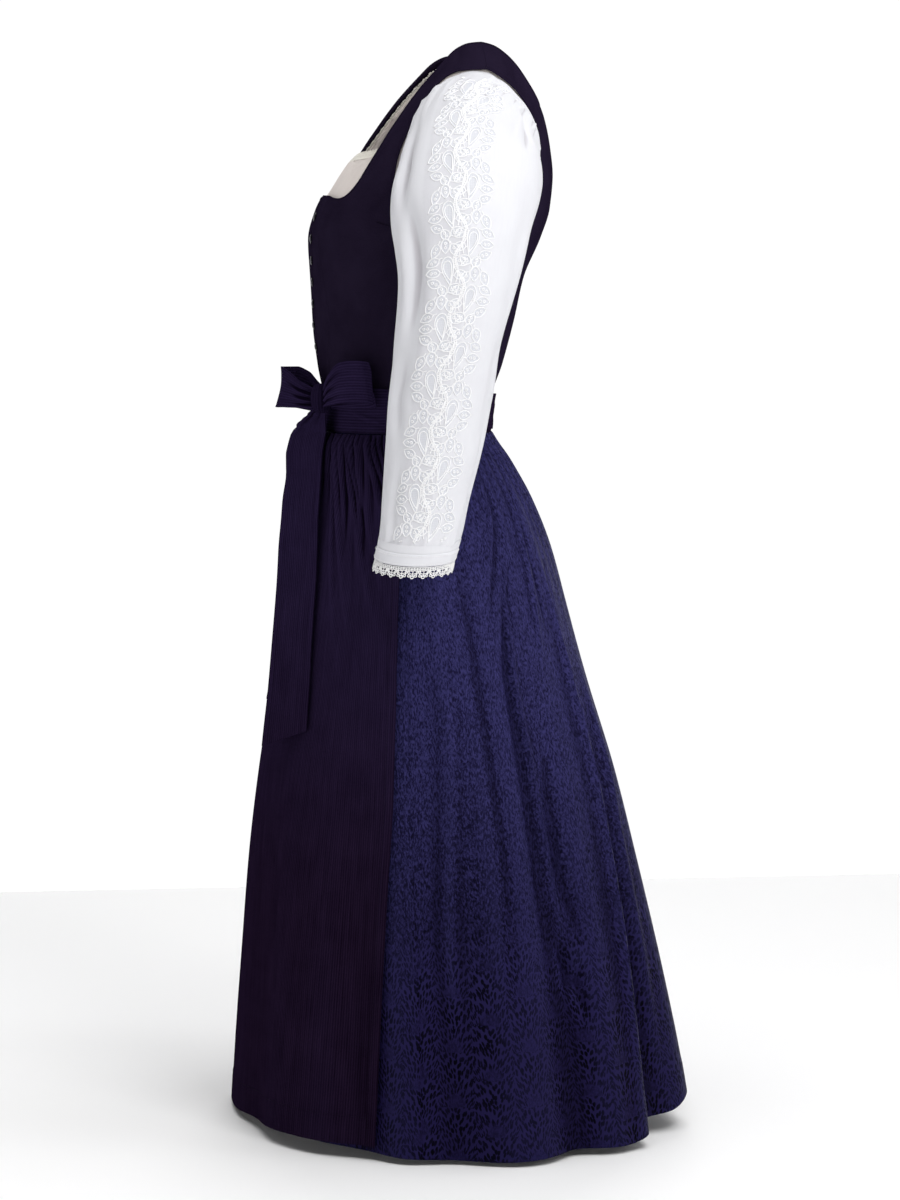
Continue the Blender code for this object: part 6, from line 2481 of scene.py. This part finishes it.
    def cuff_grid(self) -> Grid:
        """Outside of the left cuff band, drawn in where it is sewn.

        Returns:
            The cloth.
        """
        turn = self.turns()
        rings = [self.ring(row, turn, self.cuff_swell) for row in self.cuff]
        points, down = self.smooth(rings, self.cuff_rows)
        even = np.linspace(0.0, 1.0, self.cuff_rows + 1)[:, None]
        sewn = 0.0006 * bell(even - 0.42, 0.04)
        bulge = 0.0004 * eased(even, 0.40, 0.46) + 0.0002 - sewn
        flat = joined(turn[None, :] * self.cuff_degree, down[:, None])
        cuff = Grid(points, flat, period=360.0 * self.cuff_degree)
        return cuff.raised(bulge + 0.00012 * np.cos(np.radians(turn) * 26.0)[None, :] * even)

    def build(self) -> None:
        """Build and attach both sleeves with their cuffs, lace and embroidery."""
        sleeve, cuff = self.cloth_grid(), self.cuff_grid()
        embroidery = Embroidery(sleeve, self.strip_turn)
        for side in Side:
            node, slot = f"sleeve_{side.word}", "blouse_cloth"
            given = BLOUSE_WALL, self.cloth, slot, Held.HUNG, "blouse_front"
            sheet_piece(node, sleeve.on(side), *given)
            given = self.cuff_wall, self.plain, slot, Held.LAID, node
            sheet_piece(f"cuff_band_{side.word}", cuff.on(side), *given)
            sewn = embroidery.lines(side)
            piece = ThreadTree(5).lay(node + "_embroidery", sewn, self.thread_radius, self.thread)
            Dressing(slot).give(piece)
            Dressing(slot).give(embroidery.netting(node + "_netting", side, self.net))
            self.trim(side)

    def trim(self, side: Side) -> None:
        """Stitches of the cuff band and the crochet edging under it.

        Args:
            side: side of the body.
        """
        turn = self.turns()
        stitches, name = Lines(), f"cuff_{side.word}_stitches"
        low, high = (self.ring(row, turn, 0.0030) for row in (self.cuff[0], self.cuff[-1]))
        for share in (0.52, 0.90):
            stitches.add(side.placed(low * (1.0 - share) + high * share), True)
        sizes = {"pitch": 0.0024, "length": 0.0018, "radius": 0.00020}
        piece = StitchTree().run(stitches.guide(name), name, **sizes, material=self.thread)
        Dressing("blouse_cloth").give(piece)
        top, low = (self.ring(row, turn) for row in self.edging)
        out = unit((top - top.mean(axis=0)) * np.array([1.0, 1.0, 0.2]))
        parts = (side.placed(part) for part in (top, unit(low - top), out))
        crochet = LaceEdge(*parts, 0.02, 0.0104, 0.0118).lines()
        name = f"cuff_{side.word}_crochet"
        piece = ThreadTree().lay(name, crochet, self.lace_radius, self.lace)
        Dressing("lace", (f"cuff_lace_{side.word}",)).give(piece)


@dataclass
class Embroidery:
    """White threads down the outside of a sleeve: drops, leaves and a vine."""

    grid: Grid
    centre: float
    repeat: float = 0.0555
    start: float = 0.046
    top: float = 0.024
    column: float = 0.0122
    vine: float = 0.0011
    net_lift: float = 0.00016
    net_wall: float = 0.0003
    lift: float = 0.00030
    leaves: Table = (
        (-12.6, -19.5, 112.0, 15.5), (-2.6, -24.0, 88.0, 15.0), (7.0, -19.6, 58.0, 14.5),
        (-14.6, -8.0, 152.0, 14.5), (-13.6, 2.6, 176.0, 14.5), (-11.6, 13.0, 205.0, 14.5),
        (-3.2, 19.6, 238.0, 12.0), (7.6, 17.6, 322.0, 12.5), (13.0, -8.0, 32.0, 12.0),
        (13.2, 4.4, 352.0, 12.0),
    )

    def __post_init__(self) -> None:
        """Measure the cloth's directions and the distance down the strip's middle line."""
        self.normals = self.grid.normals()
        line = int(self.centre / 360.0 * self.grid.points.shape[1])
        self.down = travelled(self.grid.points[:, line])

    def on_sleeve(self, x: ndarray, y: ndarray, lift: float) -> tuple[ndarray, ndarray]:
        """Points over the sleeve.

        Args:
            x: distances towards the back from the strip's middle.
            y: distances down the sleeve.
            lift: height over the cloth.

        Returns:
            The points, and the directions out of the cloth there.
        """
        x = x + 0.014 * eased(y, 0.15, 0.03)
        rows, columns = self.grid.points.shape[:2]
        row = np.clip(np.interp(y, self.down, np.arange(rows)), 0.0, rows - 1.001)
        r = row.astype(int)
        here = self.centre / 360.0 * columns
        c0 = int(here)
        span = np.linalg.norm(self.grid.points[:, c0 + 3] - self.grid.points[:, c0 - 3], axis=-1)
        step = np.interp(row, np.arange(rows), span / 6.0)
        column = np.mod(here - np.asarray(x) / step, columns)
        c = column.astype(int) % columns
        d = (c + 1) % columns
        f, g = (row - r)[..., None], (column - np.floor(column))[..., None]

        def mixed(values: ndarray) -> ndarray:
            """Values between the four nearest points of the grid.

            Args:
                values: values on the grid.

            Returns:
                Values at the places.
            """
            upper = values[r, c] * (1 - g) + values[r, d] * g
            lower = values[r + 1, c] * (1 - g) + values[r + 1, d] * g
            return upper * (1 - f) + lower * f

        out = unit(mixed(self.normals))
        return mixed(self.grid.points) + out * lift, out

    @staticmethod
    def drop(scale: float, count: int) -> ndarray:
        """Outline of a drop with a round head above a tail that curls to one side, in metres.

        Args:
            scale: its size.
            count: number of points.

        Returns:
            The points.
        """
        t = np.linspace(0.0, 2 * math.pi, count, endpoint=False)
        x = 0.0078 * np.sin(t) * np.abs(np.sin(t / 2.0)) ** 1.2 * scale
        y = (0.0142 * np.cos(t) + 0.0010) * scale
        bent = limited((y / scale + 0.010) / 0.027) ** 2.0 * 0.0050
        return joined(x + bent, y)

    @staticmethod
    def leaf(length: float, width: float, count: int) -> ndarray:
        """Outline of a pointed leaf round its middle, along +x.

        Args:
            length: its length.
            width: its width.
            count: number of points along one side.

        Returns:
            The points.
        """
        t = np.linspace(0.0, 1.0, count)
        half = 0.5 * width * np.sin(math.pi * t**0.85) ** 0.80
        upper = joined(length * (t - 0.5), half)
        return np.concatenate([upper, (upper * [1.0, -1.0])[::-1][1:-1]])

    def motif(self) -> tuple[list[ndarray], list[ndarray], list[ndarray]]:
        """Lines of one drop with its leaves.

        Returns:
            Outlines that hold netting, other closed lines and open lines.
        """
        filled = [self.drop(1.0, 26)]
        closed = [self.drop(0.70, 18)]
        bend = np.linspace(-0.0120, 0.0120, 11)
        curl = joined(0.0094 - 150.0 * (bend - 0.002) ** 2 * 0.10, bend)
        stalk = np.array([[0.0050, 0.0160], [0.0085, 0.0205], [0.0115, 0.0230]])
        opened = [curl + [0.0012, 0.0], stalk]
        for x, y, heading, length in np.array(self.leaves) * [1e-3, 1e-3, 1.0, 1e-3]:
            a = math.radians(heading)
            turn = np.array([[math.cos(a), -math.sin(a)], [math.sin(a), math.cos(a)]]) * [1.0, -1.0]
            filled.append(self.leaf(length, 0.0090, 8) @ turn + [x, y])
            for share in (-0.17, 0.10):
                dot = self.leaf(0.0026, 0.0024, 4) + [share * length, 0.0]
                closed.append(dot @ turn + [x, y])
            stem = np.array([[-0.5 * length, 0.0], [-0.72 * length, 0.0004]])
            opened.append(stem @ turn + [x, y])
        return filled, closed, opened

    def laid(self, shapes: Sequence[ndarray]) -> list[ndarray]:
        """Shapes of the motif at each place of the half-drop repeat that the sleeve has room for.

        Args:
            shapes: the motif's shapes.

        Returns:
            Their lines on the flat sleeve.
        """
        length = float(self.down[-1]) - 0.004
        made = []
        for k in range(-1, int((length - self.start) / self.repeat * 2.0) + 2):
            hand = -1.0 if k % 2 else 1.0
            for shape in shapes:
                x = hand * (shape[:, 0] - self.column)
                y = self.start + 0.5 * self.repeat * k + shape[:, 1]
                if y.min() > self.top and y.max() < length:
                    made.append(joined(x, y))
        return made

    def lines(self, side: Side) -> Lines:
        """All threads of one sleeve.

        Args:
            side: side of the body.

        Returns:
            The lines.
        """
        made = Lines()

        def sew(x: ndarray, y: ndarray, ring: bool = False) -> None:
            """Add one line of thread through places on the sleeve."""
            made.add(side.placed(self.on_sleeve(x, y, self.lift)[0]), ring)

        filled, closed, opened = self.motif()
        for shapes, ring in ((filled, True), (closed, True), (opened, False)):
            for line in self.laid(shapes):
                sew(*line.T, ring)
        y = np.arange(self.top + 0.003, float(self.down[-1]) - 0.005, 0.0018)
        x = 0.0058 * np.sin(y / self.repeat * 2.0 * math.pi + 0.6)
        for aside in (-self.vine, self.vine):
            sew(x + aside, y)
        for a, b in zip(x, y):
            sew(np.array([a - self.vine, a + self.vine]), np.array([b, b]))
        return made

    def netting(self, name: str, side: Side, material: Material) -> Object:
        """Thin netting inside the drops and leaves.

        Args:
            name: name of the piece.
            side: side of the body.
            material: its finish.

        Returns:
            The piece.
        """
        points, normals, flat, faces = [], [], [], []
        count = 0
        for line in self.laid(self.motif()[0]):
            line = np.concatenate([line, line.mean(axis=0)[None]])
            place, out = self.on_sleeve(*line.T, self.net_lift)
            n = len(line) - 1
            points.append(side.placed(place))
            normals.append(side.placed(out))
            flat.append(line)
            area = np.cross(place[1] - place[0], place[-1] - place[0]) @ out[0] * side.value
            for i in range(n):
                face = (count + i, count + (i + 1) % n, count + n)
                faces.append(face if area > 0 else face[::-1])
            count += n + 1
        whole = (np.concatenate(part) for part in (points, normals, flat))
        return cut_cloth(name, *whole, faces, self.net_wall, material)


@dataclass
class Buttons:
    """Small domed buttons beside the centre front."""

    metal: Material
    top: float = -0.1840
    pitch: float = 0.0222
    count: int = 7
    angle: float = 2.4
    radius: float = 0.0046
    around: int = 28
    thick: float = 0.0022
    lift: float = 0.0004
    scallops: int = 14
    scallop_depth: float = 0.03
    profile: Table = (
        (0.8, 0.0), (0.97, 0.1), (1.0, 0.28), (0.97, 0.45), (0.9, 0.52), (0.84, 0.46),
        (0.78, 0.52), (0.6, 0.78), (0.34, 0.95),
    )

    def form(self) -> Object:
        """One button at the origin, with its face up.

        Returns:
            The form.
        """
        around, thick = self.around, self.thick
        points, faces = [], []
        for reach, rise in self.profile:
            for c in range(around):
                t = 2.0 * math.pi * c / around
                scallop = self.scallop_depth * math.cos(t * self.scallops)
                scallop = 1.0 + (scallop if 0.95 <= reach else 0.0)
                r = self.radius * min(reach * scallop, 1.0)
                points.append((r * math.cos(t), r * math.sin(t), rise * thick))
        for k in range(len(self.profile) - 1):
            for c in range(around):
                d = (c + 1) % around
                low, high = k * around, (k + 1) * around
                faces.append((low + c, low + d, high + d, high + c))
        faces.append(tuple(reversed(range(around))))
        points.append((0.0, 0.0, thick))
        last = (len(self.profile) - 1) * around
        faces += [(last + c, last + (c + 1) % around, len(points) - 1) for c in range(around)]
        return mesh_piece("button_form", np.array(points), faces)

    def build(self) -> None:
        heights = self.top - self.pitch * np.arange(self.count)
        angles = np.full(self.count, self.angle)
        seats = BODY.moved(angles, heights, self.lift)
        mesh = bpy.data.meshes.new("button_seats")
        mesh.from_pydata(seats.tolist(), [], [])
        up = np.tile([0.0, 0.0, 1.0], self.count)
        for name, way in (("out", BODY.normal(angles, heights).ravel()), ("run", up)):
            mesh.attributes.new(name, "FLOAT_VECTOR", "POINT").data.foreach_set("vector", way)
        guide, form = linked("button_seats", mesh), self.form()
        piece = PlaceTree().run(guide, "front_buttons", form=form, material=self.metal)
        bpy.data.objects.remove(form, do_unlink=True)
        nodes = tuple(f"front_button_{k + 1}" for k in range(self.count))
        Dressing("button", nodes).give(piece)


def towards(azimuth: float, elevation: float) -> Vector:
    """Direction out to an azimuth, from the front to the left, and an elevation, in degrees."""
    a, e = math.radians(azimuth), math.radians(elevation)
    return Vector((math.sin(a) * math.cos(e), -math.cos(a) * math.cos(e), math.sin(e)))


@dataclass(frozen=True)
class Lamp:
    """Soft light from a direction; one without a distance shines evenly, as from far away."""

    azimuth: float
    elevation: float
    strength: float
    size: float
    colour: Colour
    distance: float = 0.0

    def build(self, name: str, aim: tuple[float, float, float]) -> None:
        """Put the light in the scene, turned towards a point.

        Args:
            name: the light's name.
            aim: the point.
        """
        near = self.distance > 0.0
        data = bpy.data.lights.new(name, "AREA" if near else "SUN")
        data.color = self.colour
        if near:
            data.shape, data.size = "SQUARE", self.size
            data.energy = self.strength * math.pi * self.distance**2
        else:
            data.energy, data.angle = self.strength, math.radians(self.size)
        away = towards(self.azimuth, self.elevation)
        lamp = linked(name, data)
        lamp.location = Vector(aim) + away * (self.distance or 4.0)
        lamp.rotation_euler = (-away).to_track_quat("-Z", "Y").to_euler()


@dataclass
class Studio:
    """Pale floor, soft lights, bright surroundings and the camera."""

    floor: Material
    eye: tuple[float, float, float] = (3.5606, -0.4687, -0.2815)
    yaw: float = 7.0
    pitch: float = 4.8
    lens: float = 102.857
    sensor: float = 36.0
    floor_half: float = 1.4
    floor_height: float = -1.120
    horizon: tuple[float, float] = (0.28, 0.18)
    bright: float = 1.02
    dim: float = 0.05
    aim: tuple[float, float, float] = (0.10, -0.03, -0.25)
    lamps: tuple[Lamp, ...] = (
        Lamp(110.0, 30.0, 1.60, 0.7, (1.0, 0.995, 0.985), 1.6),
        Lamp(158.0, 30.0, 0.32, 20.0, (0.99, 0.99, 1.0)),
        Lamp(262.0, 42.0, 0.80, 30.0, (1.0, 0.99, 0.98)),
        Lamp(330.0, 35.0, 0.10, 40.0, (0.98, 0.99, 1.0)),
        Lamp(200.0, 45.0, 0.24, 40.0, (0.98, 0.99, 1.0)),
        Lamp(90.0, 88.0, 1.70, 60.0, (1.0, 1.0, 1.0)),
    )

    def camera(self) -> None:
        """Put the camera in front of the left side."""
        back = towards(90.0 - self.yaw, self.pitch)
        right = Vector((0.0, 0.0, 1.0)).cross(back).normalized()
        up = back.cross(right)
        data = bpy.data.cameras.new("camera")
        data.lens, data.sensor_width = self.lens, self.sensor
        view = linked("camera", data)
        columns = zip(right, up, back, self.eye)
        view.matrix_world = Matrix((*columns, (0.0, 0.0, 0.0, 1.0)))
        bpy.context.scene.camera = view

    def surroundings(self) -> None:
        """Bright band round the horizon under a dim sky."""
        world = bpy.data.worlds.new("studio")
        bpy.context.scene.world = world
        world.use_nodes = True
        nodes = Nodes(world.node_tree)
        place = nodes.node("ShaderNodeTexCoord", {}).outputs["Generated"]
        height = Field(nodes, nodes.node("ShaderNodeSeparateXYZ", {0: place}).outputs[2])
        fade = height.step(*self.horizon) * (self.bright - self.dim) + self.dim
        sky = nodes.tree.nodes["Background"]
        sky.inputs["Color"].default_value = (1.0, 1.0, 1.0, 1.0)
        nodes.tree.links.new(fade.socket, sky.inputs["Strength"])

    def build(self) -> None:
        """Build the floor, lights and surroundings."""
        corners = np.array([[-1, -1, 0], [1, -1, 0], [1, 1, 0], [-1, 1, 0]]) * self.floor_half
        corners[:, 2] = self.floor_height
        floor = mesh_piece("studio_floor", corners, [(0, 1, 2, 3)])
        floor.data.materials.append(self.floor)
        for k, lamp in enumerate(self.lamps):
            lamp.build(f"soft_light_{k + 1}", self.aim)
        self.surroundings()
        self.camera()
        bpy.context.scene.view_settings.view_transform = "Standard"


def main() -> None:
    """Build every piece of the set in order."""
    logging.basicConfig(level=logging.INFO, format="%(message)s")
    wool = WoolFinish().material()
    satin = RibbedFinish().material()
    dark, white, cream, cuff_white = (finish.material() for finish in (
        ThreadFinish("dark_thread", (0.005, 0.003, 0.009), (0.014, 0.009, 0.024), 0.7, 0.0, 0.02),
        ThreadFinish("white_thread", (0.82, 0.82, 0.84), (0.95, 0.95, 0.96), 0.5, 0.3),
        ThreadFinish("cream_thread", (0.72, 0.68, 0.60), (0.88, 0.85, 0.78), 0.75),
        ThreadFinish("lace_thread", (0.80, 0.80, 0.80), (0.93, 0.93, 0.93), 0.7),
    ))
    Studio(FloorFinish().material()).build()
    bodice = Bodice(wool)
    bodice.build()
    skirt = Skirt(SKIRT_RINGS, SKIRT_CREASES)
    apron = Apron(SKIRT_RINGS)
    GatheredSkirt(JacquardFinish().material(), skirt).build()
    ApronPanel(satin, dark, apron).build()
    WaistTies(satin).build()
    Bow(satin, UnderTails(SKIRT_RINGS)).build()
    armhole = Armhole(bodice)
    body_cotton = CottonFinish("blouse_body_cloth", (0.67, 0.60, 0.57), (0.82, 0.755, 0.715))
    BlouseBody(body_cotton.material(), cream, armhole).build()
    cotton = CottonFinish(strip=(0.0076, 0.034)).material()
    net = CottonFinish("sleeve_netting", (0.54, 0.55, 0.60), (0.73, 0.74, 0.78), pitch=0.0017)
    plain = CottonFinish("cuff_cloth").material()
    Sleeve(cotton, cuff_white, white, net.material(), plain, armhole).build()
    Buttons(ButtonFinish().material()).build()


if __name__ == "__main__":
    main()
